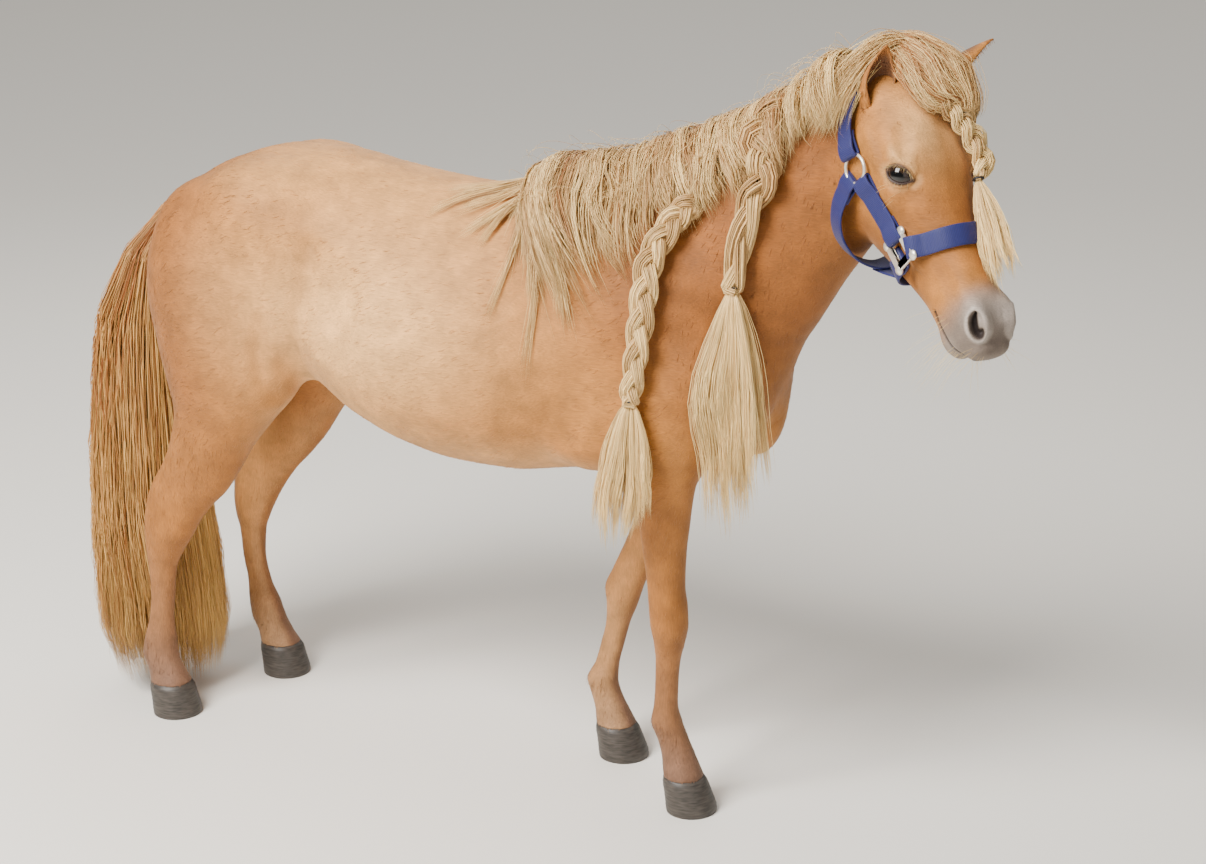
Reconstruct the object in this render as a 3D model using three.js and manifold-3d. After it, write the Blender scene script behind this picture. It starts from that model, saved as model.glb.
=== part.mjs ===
// A Shetland pony of 0.93 m at the withers, standing, with a plaited mane and forelock and a webbing halter.
// Millimetres, +Z up. The pony faces +X and its right side faces -Y.
import * as THREE from "three";
import { mergeVertices } from "three/addons/utils/BufferGeometryUtils.js";
import Module from "manifold-3d";

const wasm = await Module();
wasm.setup();
const V = (x, y, z) => new THREE.Vector3(x, y, z);
const rad = THREE.MathUtils.degToRad;

// Driving dimensions
const SEAM = 0.3; // what two touching pieces keep between them
const TORSO_CELL = [48, 40, 40];
const HEAD_CELL = 16.5;
const LEG_SIDES = 12;
const FRONT_LEG_CUT = 474; // height at which a foreleg leaves the torso
const HIND_LEG_CUT = 500;
const CORONET = 52; // height of the hair line above the sole

// Coat colours
const COAT = 0xc98d5e;
const FLAXEN = 0xdcc39a;
const HOOF = 0x6b6358;
const EYE_COLOUR = 0x1c130e;
const WEBBING = 0x22368f;
const METAL = 0xc9c6c0;
const TIE = 0x1a1716;

// A smooth curve through one column of a table of rows, whose first column is where each row stands.
function track(rows, column) {
  const at = rows.map((row) => row[0]);
  const value = rows.map((row) => row[column]);
  const last = rows.length - 1;
  const rise = at.slice(1).map((a, i) => (value[i + 1] - value[i]) / (a - at[i]));
  const slope = value.map((_, i) => {
    if (i === 0) return rise[0];
    if (i === last) return rise[last - 1];
    return rise[i - 1] * rise[i] <= 0 ? 0 : (2 * rise[i - 1] * rise[i]) / (rise[i - 1] + rise[i]);
  });
  return (x) => {
    if (x <= at[0]) return value[0];
    if (x >= at[last]) return value[last];
    let i = 0;
    while (x > at[i + 1]) i += 1;
    const step = at[i + 1] - at[i];
    const t = (x - at[i]) / step;
    const u = 1 - t;
    return (
      u * u * (1 + 2 * t) * value[i] +
      t * t * (3 - 2 * t) * value[i + 1] +
      step * t * u * (u * slope[i] - t * slope[i + 1])
    );
  };
}

// Fields: below zero inside the flesh, about the distance in millimetres outside
const blend = (a, b, k) => {
  const h = Math.max(k - Math.abs(a - b), 0) / k;
  return Math.min(a, b) - (h * h * k) / 4;
};
const carve = (a, b, k) => -blend(-a, b, k);

// A body drawn through stations along an axis. Each row: [station, top, bottom, half width, lean, height of the
// widest level as a share, squareness above, squareness below].
function loft({ origin, along, up, rows, caps }) {
  const side = new THREE.Vector3().crossVectors(up, along);
  const [top, bottom, half, lean, widest, above, below] = [1, 2, 3, 4, 5, 6, 7].map((c) => track(rows, c));
  const first = rows[0][0];
  const last = rows[rows.length - 1][0];
  return (x, y, z) => {
    const dx = x - origin.x;
    const dy = y - origin.y;
    const dz = z - origin.z;
    const s = dx * along.x + dy * along.y + dz * along.z;
    const u = dx * up.x + dy * up.y + dz * up.z;
    const v = dx * side.x + dy * side.y + dz * side.z;
    const at = Math.min(Math.max(s, first), last);
    const t = top(at);
    const b = bottom(at);
    const w = half(at);
    const centre = b + (t - b) * widest(at);
    const du = u - centre;
    const dv = v - lean(at);
    const h = du > 0 ? t - centre : centre - b;
    const n = du > 0 ? above(at) : below(at);
    const ring = Math.pow(Math.pow(Math.abs(dv) / w, n) + Math.pow(Math.abs(du) / h, n), 1 / n);
    const r = Math.hypot(ring, (s - at) / (s < at ? caps[0] : caps[1]));
    if (r < 0.05) return -Math.min(w, h);
    return Math.hypot(du, dv, s - at) * (1 - 1 / r);
  };
}

// A muscle or bone as an ellipsoid, long along its own axis
function lump({ at, radii, along = V(1, 0, 0), up = V(0, 0, 1) }) {
  const a = along.clone().normalize();
  const side = new THREE.Vector3().crossVectors(up, a).normalize();
  const u = new THREE.Vector3().crossVectors(a, side);
  return (x, y, z) => {
    const dx = x - at.x;
    const dy = y - at.y;
    const dz = z - at.z;
    const p = (dx * a.x + dy * a.y + dz * a.z) / radii[0];
    const q = (dx * side.x + dy * side.y + dz * side.z) / radii[1];
    const r = (dx * u.x + dy * u.y + dz * u.z) / radii[2];
    const n = Math.hypot(p, q, r);
    return n < 0.05 ? -Math.min(...radii) : Math.hypot(dx, dy, dz) * (1 - 1 / n);
  };
}

// Torso, along +X: [x, top, bottom, half width, lean, widest, squareness above, below]
const torso = loft({
  origin: V(0, 0, 0),
  along: V(1, 0, 0),
  up: V(0, 0, 1),
  caps: [18, 16],
  rows: [
    [-415, 815, 690, 62, 0, 0.5, 2, 2],
    [-385, 848, 640, 112, 0, 0.55, 2, 2],
    [-320, 886, 600, 150, 0, 0.58, 2.1, 2],
    [-230, 911, 572, 174, 0, 0.58, 2.1, 2],
    [-140, 912, 552, 180, 0, 0.52, 2, 2.1],
    [-60, 901, 512, 192, 0, 0.46, 1.95, 2.2],
    [20, 891, 486, 204, 0, 0.43, 1.95, 2.2],
    [100, 886, 473, 207, 0, 0.42, 1.9, 2.2],
    [180, 893, 471, 199, 0, 0.42, 1.85, 2.2],
    [250, 920, 480, 178, 0, 0.42, 1.6, 2.2],
    [320, 915, 492, 158, 0, 0.42, 1.6, 2.2],
    [400, 880, 505, 148, 0, 0.42, 1.8, 2.2],
    [470, 820, 532, 132, 0, 0.45, 2, 2.1],
    [515, 765, 575, 104, 0, 0.5, 2, 2],
    [540, 720, 620, 68, 0, 0.5, 2, 2],
  ],
});

// Neck, along a line from the shoulders to the poll
const NECK_RISE = rad(42);
const neckAlong = V(Math.cos(NECK_RISE), 0, Math.sin(NECK_RISE));
const neckUp = V(-Math.sin(NECK_RISE), 0, Math.cos(NECK_RISE));
const NECK_BASE = V(330, 0, 770);
const neck = loft({
  origin: NECK_BASE,
  along: neckAlong,
  up: neckUp,
  caps: [90, 40],
  rows: [
    [-60, 140, -262, 126, 0, 0.42, 1.7, 2.1],
    [20, 143, -266, 118, 0, 0.42, 1.65, 2.1],
    [110, 126, -236, 102, 0, 0.42, 1.65, 2.1],
    [180, 104, -218, 90, -1, 0.44, 1.7, 2.1],
    [262, 70, -192, 77, -4, 0.47, 1.8, 2.1],
    [340, 40, -172, 68, -10, 0.5, 1.9, 2.1],
    [410, 22, -152, 62, -19, 0.5, 2, 2.1],
    [480, 4, -134, 58, -29, 0.5, 2, 2.1],
  ],
});

// Head, along the line of the face from the poll to the lips
const FACE_PITCH = rad(52.5);
const FACE_TURN = rad(-33);
const FACE_ROLL = rad(2);
const POLL = V(733, -31, 1090);
const headTurn = new THREE.Quaternion()
  .setFromAxisAngle(V(0, 0, 1), FACE_TURN)
  .multiply(new THREE.Quaternion().setFromAxisAngle(V(0, 1, 0), FACE_PITCH))
  .multiply(new THREE.Quaternion().setFromAxisAngle(V(1, 0, 0), -FACE_ROLL));
const headAlong = V(1, 0, 0).applyQuaternion(headTurn); // down the face
const headUp = V(0, 0, 1).applyQuaternion(headTurn); // out of the forehead
const headSide = V(0, 1, 0).applyQuaternion(headTurn); // the pony's left
const inHead = (s, u, v) =>
  POLL.clone().addScaledVector(headAlong, s).addScaledVector(headUp, u).addScaledVector(headSide, v);
const skull = loft({
  origin: POLL,
  along: headAlong,
  up: headUp,
  caps: [22, 12],
  rows: [
    [0, 0, -128, 52, 0, 0.6, 2, 2],
    [38, 13, -156, 66, 0, 0.62, 2.2, 2],
    [80, 19, -172, 73, 0, 0.64, 2.3, 2],
    [122, 15, -174, 71, 0, 0.66, 2.3, 2],
    [168, 7, -160, 61, 0, 0.62, 2.2, 2.1],
    [210, 1, -141, 50, 0, 0.6, 2.1, 2.1],
    [250, -3, -123, 43, 0, 0.58, 2.1, 2.2],
    [288, -5, -109, 39, 0, 0.58, 2.2, 2.2],
    [322, -6, -101, 40, 0, 0.59, 2.3, 2.2],
    [350, -11, -92, 38, 0, 0.6, 2.3, 2.2],
    [372, -25, -74, 28, 0, 0.58, 2.2, 2.2],
  ],
});
const EYE_RADIUS = 16.5;
const EYE = { s: 129, u: -21, v: 54 };
const NOSTRIL = { s: 343, u: -18, v: 33 };
const bothSides = (s, u, v, radii, along = headAlong) => [
  lump({ at: inHead(s, u, v), radii, along, up: headUp }),
  lump({ at: inHead(s, u, -v), radii, along, up: headUp }),
];
const faceBones = [
  ...bothSides(EYE.s - 19, EYE.u + 13, EYE.v + 2, [22, 16, 12]), // brow over the eye
  ...bothSides(EYE.s + 12, EYE.u - 20, EYE.v + 1, [24, 14, 12]), // under the eye
  ...bothSides(98, -112, 38, [62, 27, 58]), // round cheek
  ...bothSides(196, -60, 43, [50, 10, 15]), // cheek bone
  ...bothSides(NOSTRIL.s - 7, NOSTRIL.u - 6, NOSTRIL.v - 9, [27, 13, 20]), // wing of the nostril
];
const chin = lump({ at: inHead(338, -93, 0), radii: [26, 23, 15], along: headAlong, up: headUp });
const jawGroove = lump({ at: inHead(160, -182, 0), radii: [92, 17, 26], along: headAlong, up: headUp });
function head(x, y, z) {
  let f = skull(x, y, z);
  for (const bone of faceBones) f = blend(f, bone(x, y, z), 16);
  f = blend(f, chin(x, y, z), 14);
  return carve(f, jawGroove(x, y, z), 16);
}

// Legs, from the torso down. Each row: [height, front, back, half width, distance from the middle]
function leg(rows, hand) {
  return loft({
    origin: V(0, 0, 0),
    along: V(0, 0, -1),
    up: V(1, 0, 0),
    caps: [30, 10],
    // the loft's own side points to the pony's left
    rows: rows.map(([height, front, back, half, out]) => [-height, front, back, half, hand * out, 0.5, 2.1, 2.1]),
  });
}
const legRows = {
  front_right: [
    [640, 486, 356, 50, 98],
    [575, 492, 344, 52, 100],
    [525, 482, 352, 47, 98],
    [480, 471, 374, 41, 94],
    [445, 465, 388, 36, 90],
    [395, 459, 395, 31, 86],
    [345, 457, 400, 28, 82],
    [318, 460, 402, 30, 80],
    [288, 461, 404, 30, 78],
    [260, 456, 409, 26, 76],
    [232, 450, 411, 19, 75],
    [195, 447, 410, 16.5, 73],
    [160, 446, 408, 18, 71],
    [132, 452, 404, 24, 69],
    [108, 462, 412, 21, 67],
    [82, 473, 420, 24, 66],
    [CORONET, 485, 424, 31, 65],
  ],
  front_left: [
    [640, 462, 334, 50, 98],
    [575, 462, 314, 52, 100],
    [525, 444, 312, 47, 97],
    [480, 420, 322, 41, 93],
    [445, 402, 323, 36, 88],
    [395, 376, 310, 31, 82],
    [345, 352, 293, 28, 77],
    [300, 334, 275, 30, 73],
    [270, 324, 264, 30, 70],
    [243, 316, 267, 26, 69],
    [215, 306, 266, 19, 68],
    [180, 298, 259, 16.5, 66],
    [145, 290, 250, 18, 65],
    [118, 288, 238, 24, 64],
    [96, 296, 244, 21, 63],
    [74, 308, 252, 24, 62],
    [CORONET, 319, 256, 31, 62],
  ],
  hind_right: [
    [800, -190, -372, 66, 92],
    [740, -168, -405, 80, 96],
    [680, -156, -412, 84, 98],
    [615, -150, -404, 80, 102],
    [560, -165, -388, 70, 108],
    [510, -204, -376, 58, 112],
    [460, -244, -385, 47, 114],
    [420, -268, -402, 39, 114],
    [385, -292, -424, 33, 113],
    [355, -322, -437, 30, 112],
    [325, -346, -443, 31, 111],
    [298, -362, -445, 30, 110],
    [268, -382, -444, 26, 109],
    [240, -394, -442, 20, 109],
    [200, -398, -441, 17, 109],
    [155, -402, -446, 17, 109],
    [118, -400, -456, 23, 109],
    [92, -398, -460, 24, 109],
    [72, -388, -452, 24, 109],
    [CORONET, -378, -446, 31, 109],
  ],
  hind_left: [
    [800, -190, -372, 66, 92],
    [740, -168, -405, 80, 96],
    [680, -152, -408, 84, 98],
    [615, -140, -396, 80, 102],
    [560, -152, -372, 70, 108],
    [510, -188, -352, 58, 112],
    [460, -226, -360, 47, 114],
    [420, -252, -378, 39, 114],
    [385, -280, -400, 33, 113],
    [355, -308, -416, 30, 112],
    [325, -330, -424, 31, 111],
    [298, -346, -425, 30, 110],
    [268, -360, -422, 26, 109],
    [240, -369, -416, 20, 109],
    [200, -371, -413, 17, 109],
    [155, -362, -405, 17, 109],
    [118, -346, -402, 23, 109],
    [92, -336, -398, 24, 109],
    [72, -324, -388, 24, 109],
    [CORONET, -312, -380, 31, 109],
  ],
};
const handOf = (name) => (name.endsWith("left") ? 1 : -1);
const legs = Object.fromEntries(Object.entries(legRows).map(([name, rows]) => [name, leg(rows, handOf(name))]));

// Muscles that shape the trunk, alike on both sides
const sideMuscles = [
  lump({ at: V(352, 92, 740), radii: [175, 52, 92], along: V(0.62, 0.1, -0.78), up: V(0.78, 0, 0.62) }), // shoulder
  lump({ at: V(455, 96, 632), radii: [92, 50, 66], along: V(0.8, 0, 0.6), up: V(-0.6, 0, 0.8) }), // point of shoulder
  lump({ at: V(350, 112, 585), radii: [86, 44, 62], along: V(0.8, 0, 0.6), up: V(-0.6, 0, 0.8) }), // elbow muscle
  lump({ at: V(-215, 104, 815), radii: [104, 74, 78], along: V(1, 0, -0.2) }), // croup
  lump({ at: V(-345, 92, 725), radii: [72, 66, 128], along: V(1, 0, 0) }), // buttock
  lump({ at: V(505, 52, 590), radii: [46, 44, 76], along: V(1, 0, 0) }), // breast
];
const flank = lump({ at: V(-92, 196, 742), radii: [62, 26, 84], along: V(1, 0, 0) });

// The whole flesh as one field
function flesh(x, y, z) {
  let f = torso(x, y, z);
  const far = Math.abs(y);
  for (const muscle of sideMuscles) f = blend(f, muscle(x, far, z), 42);
  f = carve(f, flank(x, far, z), 40);
  f = blend(f, neck(x, y, z), 62);
  if (x < 60) f = blend(blend(f, legs.hind_right(x, y, z), 34), legs.hind_left(x, y, z), 34);
  if (x > 120) f = blend(blend(f, legs.front_right(x, y, z), 30), legs.front_left(x, y, z), 30);
  if (x > 500) f = blend(f, head(x, y, z), 26);
  return f;
}

// Meshes: a closed surface where a field is zero, from a grid of cells
function netOf(field, { corner, axes, cells, counts }) {
  const [nx, ny, nz] = counts.map((n) => n + 1);
  const value = new Float32Array(nx * ny * nz);
  const point = (i, j, k) =>
    corner
      .clone()
      .addScaledVector(axes[0], i * cells[0])
      .addScaledVector(axes[1], j * cells[1])
      .addScaledVector(axes[2], k * cells[2]);
  const index = (i, j, k) => (k * ny + j) * nx + i;
  for (let k = 0; k < nz; k += 1)
    for (let j = 0; j < ny; j += 1)
      for (let i = 0; i < nx; i += 1) {
        const p = point(i, j, k);
        const rim = i === 0 || j === 0 || k === 0 || i === nx - 1 || j === ny - 1 || k === nz - 1;
        const f = field(p.x, p.y, p.z);
        value[index(i, j, k)] = rim ? Math.max(f, 1) : f;
      }
  closeGaps(value, [nx, ny, nz]);
  const places = [];
  const vertexOf = new Map();
  const steps = [0, 1];
  for (let k = 0; k < nz - 1; k += 1)
    for (let j = 0; j < ny - 1; j += 1)
      for (let i = 0; i < nx - 1; i += 1) {
        const sum = V(0, 0, 0);
        let crossings = 0;
        for (let axis = 0; axis < 3; axis += 1)
          for (const a of steps)
            for (const b of steps) {
              const from = [i, j, k];
              from[(axis + 1) % 3] += a;
              from[(axis + 2) % 3] += b;
              const to = from.slice();
              to[axis] += 1;
              const f = value[index(...from)];
              const g = value[index(...to)];
              if (f < 0 === g < 0) continue;
              sum.add(point(...from).lerp(point(...to), f / (f - g)));
              crossings += 1;
            }
        if (!crossings) continue;
        vertexOf.set(index(i, j, k), places.length);
        places.push(settle(field, sum.divideScalar(crossings), Math.min(...cells) * 0.5));
      }
  const faces = [];
  const quad = (a, b, c, d, flip) => {
    const [p, q, r, s] = [a, b, c, d].map((n) => vertexOf.get(n));
    const short = places[p].distanceTo(places[r]) <= places[q].distanceTo(places[s]);
    const triangles = short ? [p, q, r, p, r, s] : [p, q, s, q, r, s];
    for (let n = 0; n < 6; n += 3)
      faces.push(triangles[n], triangles[n + (flip ? 2 : 1)], triangles[n + (flip ? 1 : 2)]);
  };
  for (let k = 0; k < nz - 1; k += 1)
    for (let j = 0; j < ny - 1; j += 1)
      for (let i = 0; i < nx - 1; i += 1) {
        const inside = value[index(i, j, k)] < 0;
        if (j && k && inside !== value[index(i + 1, j, k)] < 0)
          quad(index(i, j - 1, k - 1), index(i, j, k - 1), index(i, j, k), index(i, j - 1, k), !inside);
        if (i && k && inside !== value[index(i, j + 1, k)] < 0)
          quad(index(i - 1, j, k - 1), index(i - 1, j, k), index(i, j, k), index(i, j, k - 1), !inside);
        if (i && j && inside !== value[index(i, j, k + 1)] < 0)
          quad(index(i - 1, j - 1, k), index(i, j - 1, k), index(i, j, k), index(i - 1, j, k), !inside);
      }
  return geometryOf(places, faces);
}

// Whether the corners of a cell named by the bits of a number hang together along its edges
function hangTogether(bits) {
  const corners = [0, 1, 2, 3, 4, 5, 6, 7].filter((c) => (bits >> c) & 1);
  if (corners.length < 2) return true;
  const reached = [corners[0]];
  for (const c of reached)
    for (const other of [c ^ 1, c ^ 2, c ^ 4])
      if ((bits >> other) & 1 && !reached.includes(other)) reached.push(other);
  return reached.length === corners.length;
}
const TIDY = Array.from({ length: 256 }, (_, bits) => hangTogether(bits) && hangTogether(255 - bits));

// Fills single grid points until no cell holds two separate pieces of surface
function closeGaps(value, [nx, ny, nz]) {
  const offsets = [0, 1, 2, 3, 4, 5, 6, 7].map((c) => (((c >> 2) & 1) * ny + ((c >> 1) & 1)) * nx + (c & 1));
  let changed = true;
  while (changed) {
    changed = false;
    for (let k = 0; k < nz - 1; k += 1)
      for (let j = 0; j < ny - 1; j += 1)
        for (let i = 0; i < nx - 1; i += 1) {
          const first = (k * ny + j) * nx + i;
          const bits = offsets.reduce((sum, offset, c) => sum + (value[first + offset] < 0 ? 1 << c : 0), 0);
          if (TIDY[bits]) continue;
          const out = offsets.filter((offset) => value[first + offset] >= 0);
          const nearest = out.reduce((a, b) => (value[first + a] <= value[first + b] ? a : b));
          value[first + nearest] = -0.05;
          changed = true;
        }
  }
}

// Moves a point onto the surface, but no further than the reach given
function settle(field, place, reach) {
  const p = place.clone();
  for (let turn = 0; turn < 3; turn += 1) {
    const { normal, steep } = slopeOf(field, p);
    const move = THREE.MathUtils.clamp(field(p.x, p.y, p.z) / Math.max(steep, 0.3), -reach, reach);
    p.addScaledVector(normal, -move);
  }
  return p.distanceTo(place) > reach ? place : p;
}

function slopeOf(field, p) {
  const e = 1.5;
  const g = V(
    field(p.x + e, p.y, p.z) - field(p.x - e, p.y, p.z),
    field(p.x, p.y + e, p.z) - field(p.x, p.y - e, p.z),
    field(p.x, p.y, p.z + e) - field(p.x, p.y, p.z - e),
  ).divideScalar(2 * e);
  const steep = g.length();
  return { normal: g.normalize(), steep };
}

function geometryOf(places, faces) {
  const geometry = new THREE.BufferGeometry();
  geometry.setAttribute("position", new THREE.Float32BufferAttribute(places.flatMap((p) => p.toArray()), 3));
  geometry.setIndex(faces);
  return geometry;
}

// A closed skin over rings of equal count. The start is closed flat, the end flat or in a point.
function skinOf(rings, tip = null) {
  const count = rings[0].length;
  const places = rings.flat();
  const faces = [];
  for (let r = 0; r < rings.length - 1; r += 1)
    for (let i = 0; i < count; i += 1) {
      const a = r * count + i;
      const b = r * count + ((i + 1) % count);
      faces.push(a, b, a + count, b, b + count, a + count);
    }
  const middle = (ring) => ring.reduce((sum, p) => sum.add(p), V(0, 0, 0)).divideScalar(count);
  const start = places.push(middle(rings[0])) - 1;
  const end = places.push(tip ?? middle(rings[rings.length - 1])) - 1;
  const lastRing = (rings.length - 1) * count;
  for (let i = 0; i < count; i += 1) {
    const j = (i + 1) % count;
    faces.push(j, i, start);
    faces.push(lastRing + i, lastRing + j, end);
  }
  return geometryOf(places, faces);
}

// A shape moved outward by a step along its own corner normals
function grown(geometry, step) {
  const shape = geometry.clone();
  shape.computeVertexNormals();
  const position = shape.getAttribute("position");
  const normal = shape.getAttribute("normal");
  for (let i = 0; i < position.count; i += 1)
    position.setXYZ(
      i,
      position.getX(i) + normal.getX(i) * step,
      position.getY(i) + normal.getY(i) * step,
      position.getZ(i) + normal.getZ(i) * step,
    );
  return shape;
}

// An ellipsoid: radii along, to the side and up
function ball(at, radii, along, up, detail) {
  const shape = new THREE.IcosahedronGeometry(1, detail);
  const [a, b, c] = Array.isArray(radii) ? radii : [radii, radii, radii];
  const x = along.clone().normalize();
  const y = new THREE.Vector3().crossVectors(up, x).normalize();
  const z = new THREE.Vector3().crossVectors(x, y);
  shape.applyMatrix4(
    new THREE.Matrix4().makeBasis(x.multiplyScalar(a), y.multiplyScalar(b), z.multiplyScalar(c)).setPosition(at),
  );
  return solidOf(shape);
}

// A band along a line of points: width across, depth the way it faces, closed flat or drawn to a point
function ribbon({ spine, facing, width, depth, sides, rings, point = false }) {
  const curve = new THREE.CatmullRomCurve3(spine, false, "centripetal");
  const steps = point ? rings - 1 : rings;
  const sections = Array.from({ length: steps + 1 }, (_, r) => {
    const t = r / rings;
    const at = curve.getPointAt(t);
    const tangent = curve.getTangentAt(t);
    const face = (typeof facing === "function" ? facing(t, at) : facing).clone();
    face.addScaledVector(tangent, -face.dot(tangent)).normalize();
    const across = new THREE.Vector3().crossVectors(tangent, face);
    return Array.from({ length: sides }, (_, i) => {
      const turn = (2 * Math.PI * (i + (sides === 4 ? 0.5 : 0))) / sides;
      const square = sides === 4 ? Math.SQRT1_2 : 0.5;
      return at
        .clone()
        .addScaledVector(across, Math.cos(turn) * width(t) * square)
        .addScaledVector(face, Math.sin(turn) * depth(t) * square);
    });
  });
  return skinOf(sections, point ? curve.getPointAt(1) : null);
}

// Solids
function solidOf(geometry) {
  const bare = new THREE.BufferGeometry();
  bare.setAttribute("position", geometry.getAttribute("position"));
  if (geometry.index) bare.setIndex(geometry.index);
  const merged = mergeVertices(bare, 1e-4);
  const triVerts = new Uint32Array(merged.index.array);
  const make = () =>
    new wasm.Manifold(
      new wasm.Mesh({ numProp: 3, vertProperties: new Float32Array(merged.attributes.position.array), triVerts }),
    );
  let made = make();
  if (made.volume() < 0) {
    for (let i = 0; i < triVerts.length; i += 3)
      [triVerts[i + 1], triVerts[i + 2]] = [triVerts[i + 2], triVerts[i + 1]];
    made = make();
  }
  return made;
}

function geometryFrom(solid) {
  const mesh = solid.getMesh();
  const places = [];
  for (let i = 0; i < mesh.numVert; i += 1) {
    const at = i * mesh.numProp;
    places.push(V(...mesh.vertProperties.subarray(at, at + 3)));
  }
  return geometryOf(places, Array.from(mesh.triVerts));
}

const biggest = (solid) => solid.decompose().reduce((best, one) => (one.volume() > best.volume() ? one : best));
const largest = (solid) => solidOf(withoutSlivers(geometryFrom(biggest(solid))));

// A closed mesh whose shortest edges are drawn together and whose flattest triangles are turned onto their neighbours
const SHORTEST_EDGE = 0.25;
const FLATTEST = 0.06;
function withoutSlivers(geometry) {
  const places = [];
  for (let i = 0; i < geometry.getAttribute("position").count; i += 1)
    places.push(new THREE.Vector3().fromBufferAttribute(geometry.getAttribute("position"), i));
  const index = Array.from(geometry.index.array);
  const faces = [];
  for (let i = 0; i < index.length; i += 3) faces.push(index.slice(i, i + 3));
  const around = places.map(() => new Set());
  faces.forEach((face, f) => face.forEach((p) => around[p].add(f)));
  const neighbours = (p) => new Set([...around[p]].flatMap((f) => faces[f]).filter((q) => q !== p));
  const normalOf = ([a, b, c]) =>
    new THREE.Vector3().crossVectors(places[b].clone().sub(places[a]), places[c].clone().sub(places[a]));
  const heightOf = (face) => {
    const long = Math.max(...[0, 1, 2].map((n) => places[face[n]].distanceTo(places[face[(n + 1) % 3]])));
    return normalOf(face).length() / long;
  };
  const turns = (before, after) => {
    const [a, b] = [normalOf(before), normalOf(after)];
    return a.length() > 1e-3 && b.dot(a) < 0.5 * a.length() * b.length();
  };
  const draw = (keep, drop) => {
    const near = neighbours(keep);
    if ([...neighbours(drop)].filter((q) => near.has(q)).length !== 2) return false;
    const moved = [...around[drop]].filter((f) => !faces[f].includes(keep));
    const changed = moved.map((f) => faces[f].map((q) => (q === drop ? keep : q)));
    if (moved.some((f, n) => turns(faces[f], changed[n]) || normalOf(changed[n]).length() < 1e-4)) return false;
    for (const f of [...around[drop]].filter((g) => faces[g].includes(keep))) {
      faces[f].forEach((q) => around[q].delete(f));
      faces[f] = null;
    }
    moved.forEach((f, n) => {
      faces[f] = changed[n];
      around[drop].delete(f);
      around[keep].add(f);
    });
    return true;
  };
  const flip = (f) => {
    const face = faces[f];
    const lengths = [0, 1, 2].map((n) => places[face[n]].distanceTo(places[face[(n + 1) % 3]]));
    const n = lengths.indexOf(Math.max(...lengths));
    const [a, b, c] = [face[n], face[(n + 1) % 3], face[(n + 2) % 3]];
    const g = [...around[a]].find((h) => h !== f && faces[h].includes(b));
    if (g === undefined || neighbours(c).has(faces[g].find((q) => q !== a && q !== b))) return false;
    const d = faces[g].find((q) => q !== a && q !== b);
    const [first, second] = [[a, d, c], [d, b, c]];
    if (Math.min(heightOf(first), heightOf(second)) <= heightOf(face)) return false;
    if (turns(faces[g], first) || turns(faces[g], second)) return false;
    faces[f] = first;
    faces[g] = second;
    around[b].delete(f);
    around[a].delete(g);
    around[d].add(f);
    around[c].add(g);
    return true;
  };
  for (let round = 0; round < 4; round += 1)
    for (let f = 0; f < faces.length; f += 1) {
      for (let n = 0; n < 3 && faces[f]; n += 1) {
        const [p, q] = [faces[f][n], faces[f][(n + 1) % 3]];
        if (places[p].distanceTo(places[q]) < SHORTEST_EDGE && (draw(p, q) || draw(q, p))) break;
      }
      if (faces[f] && heightOf(faces[f]) < FLATTEST) flip(f);
    }
  return geometryOf(places, faces.filter(Boolean).flat());
}
const joined = (solids) => solids.reduce((sum, one) => sum.add(one));

// Everything on the side of a plane that its normal points to
const REACH = 4000;
function beyond(point, normal) {
  const block = new THREE.BoxGeometry(REACH, REACH, REACH);
  block.translate(0, 0, REACH / 2);
  block.applyQuaternion(new THREE.Quaternion().setFromUnitVectors(V(0, 0, 1), normal.clone().normalize()));
  block.translate(point.x, point.y, point.z);
  return solidOf(block);
}

function boxBetween(low, high) {
  const size = high.clone().sub(low);
  const block = new THREE.BoxGeometry(size.x, size.y, size.z);
  block.translate((low.x + high.x) / 2, (low.y + high.y) / 2, (low.z + high.z) / 2);
  return solidOf(block);
}

const pony = new THREE.Group();
const solids = {};
function place(name, solid, colour, roughness = 0.85, metalness = 0) {
  const material = new THREE.MeshStandardMaterial({ color: colour, roughness, metalness });
  const mesh = new THREE.Mesh(geometryFrom(solid), material);
  mesh.name = name;
  pony.add(mesh);
  solids[name] = solid;
}

// Torso and neck from one net, parted at the shoulders and behind the jaw
const trunkShape = netOf(flesh, {
  corner: V(-480, -280, 425),
  axes: [V(1, 0, 0), V(0, 1, 0), V(0, 0, 1)],
  cells: TORSO_CELL,
  counts: [28, 14, 20],
});
const trunkNet = solidOf(trunkShape);
const SHOULDER_CUT = V(318, 0, 915);
const POLL_CUT = V(700, -25, 1090);
const pollNormal = V(0.97, -0.2, -0.17).normalize();
const frontLegBox = boxBetween(V(256, -200, 0), V(620, 200, FRONT_LEG_CUT + SEAM));
const hindLegBox = boxBetween(V(-600, -250, 0), V(-165, 250, HIND_LEG_CUT + SEAM));
const trunk = trunkNet
  .intersect(beyond(POLL_CUT, pollNormal.clone().negate()))
  .subtract(frontLegBox)
  .subtract(hindLegBox);
place("torso", largest(trunk.intersect(beyond(SHOULDER_CUT, neckAlong.clone().negate()))), COAT);
place(
  "neck",
  largest(trunk.intersect(beyond(SHOULDER_CUT.clone().addScaledVector(neckAlong, SEAM), neckAlong))),
  COAT,
);

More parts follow.
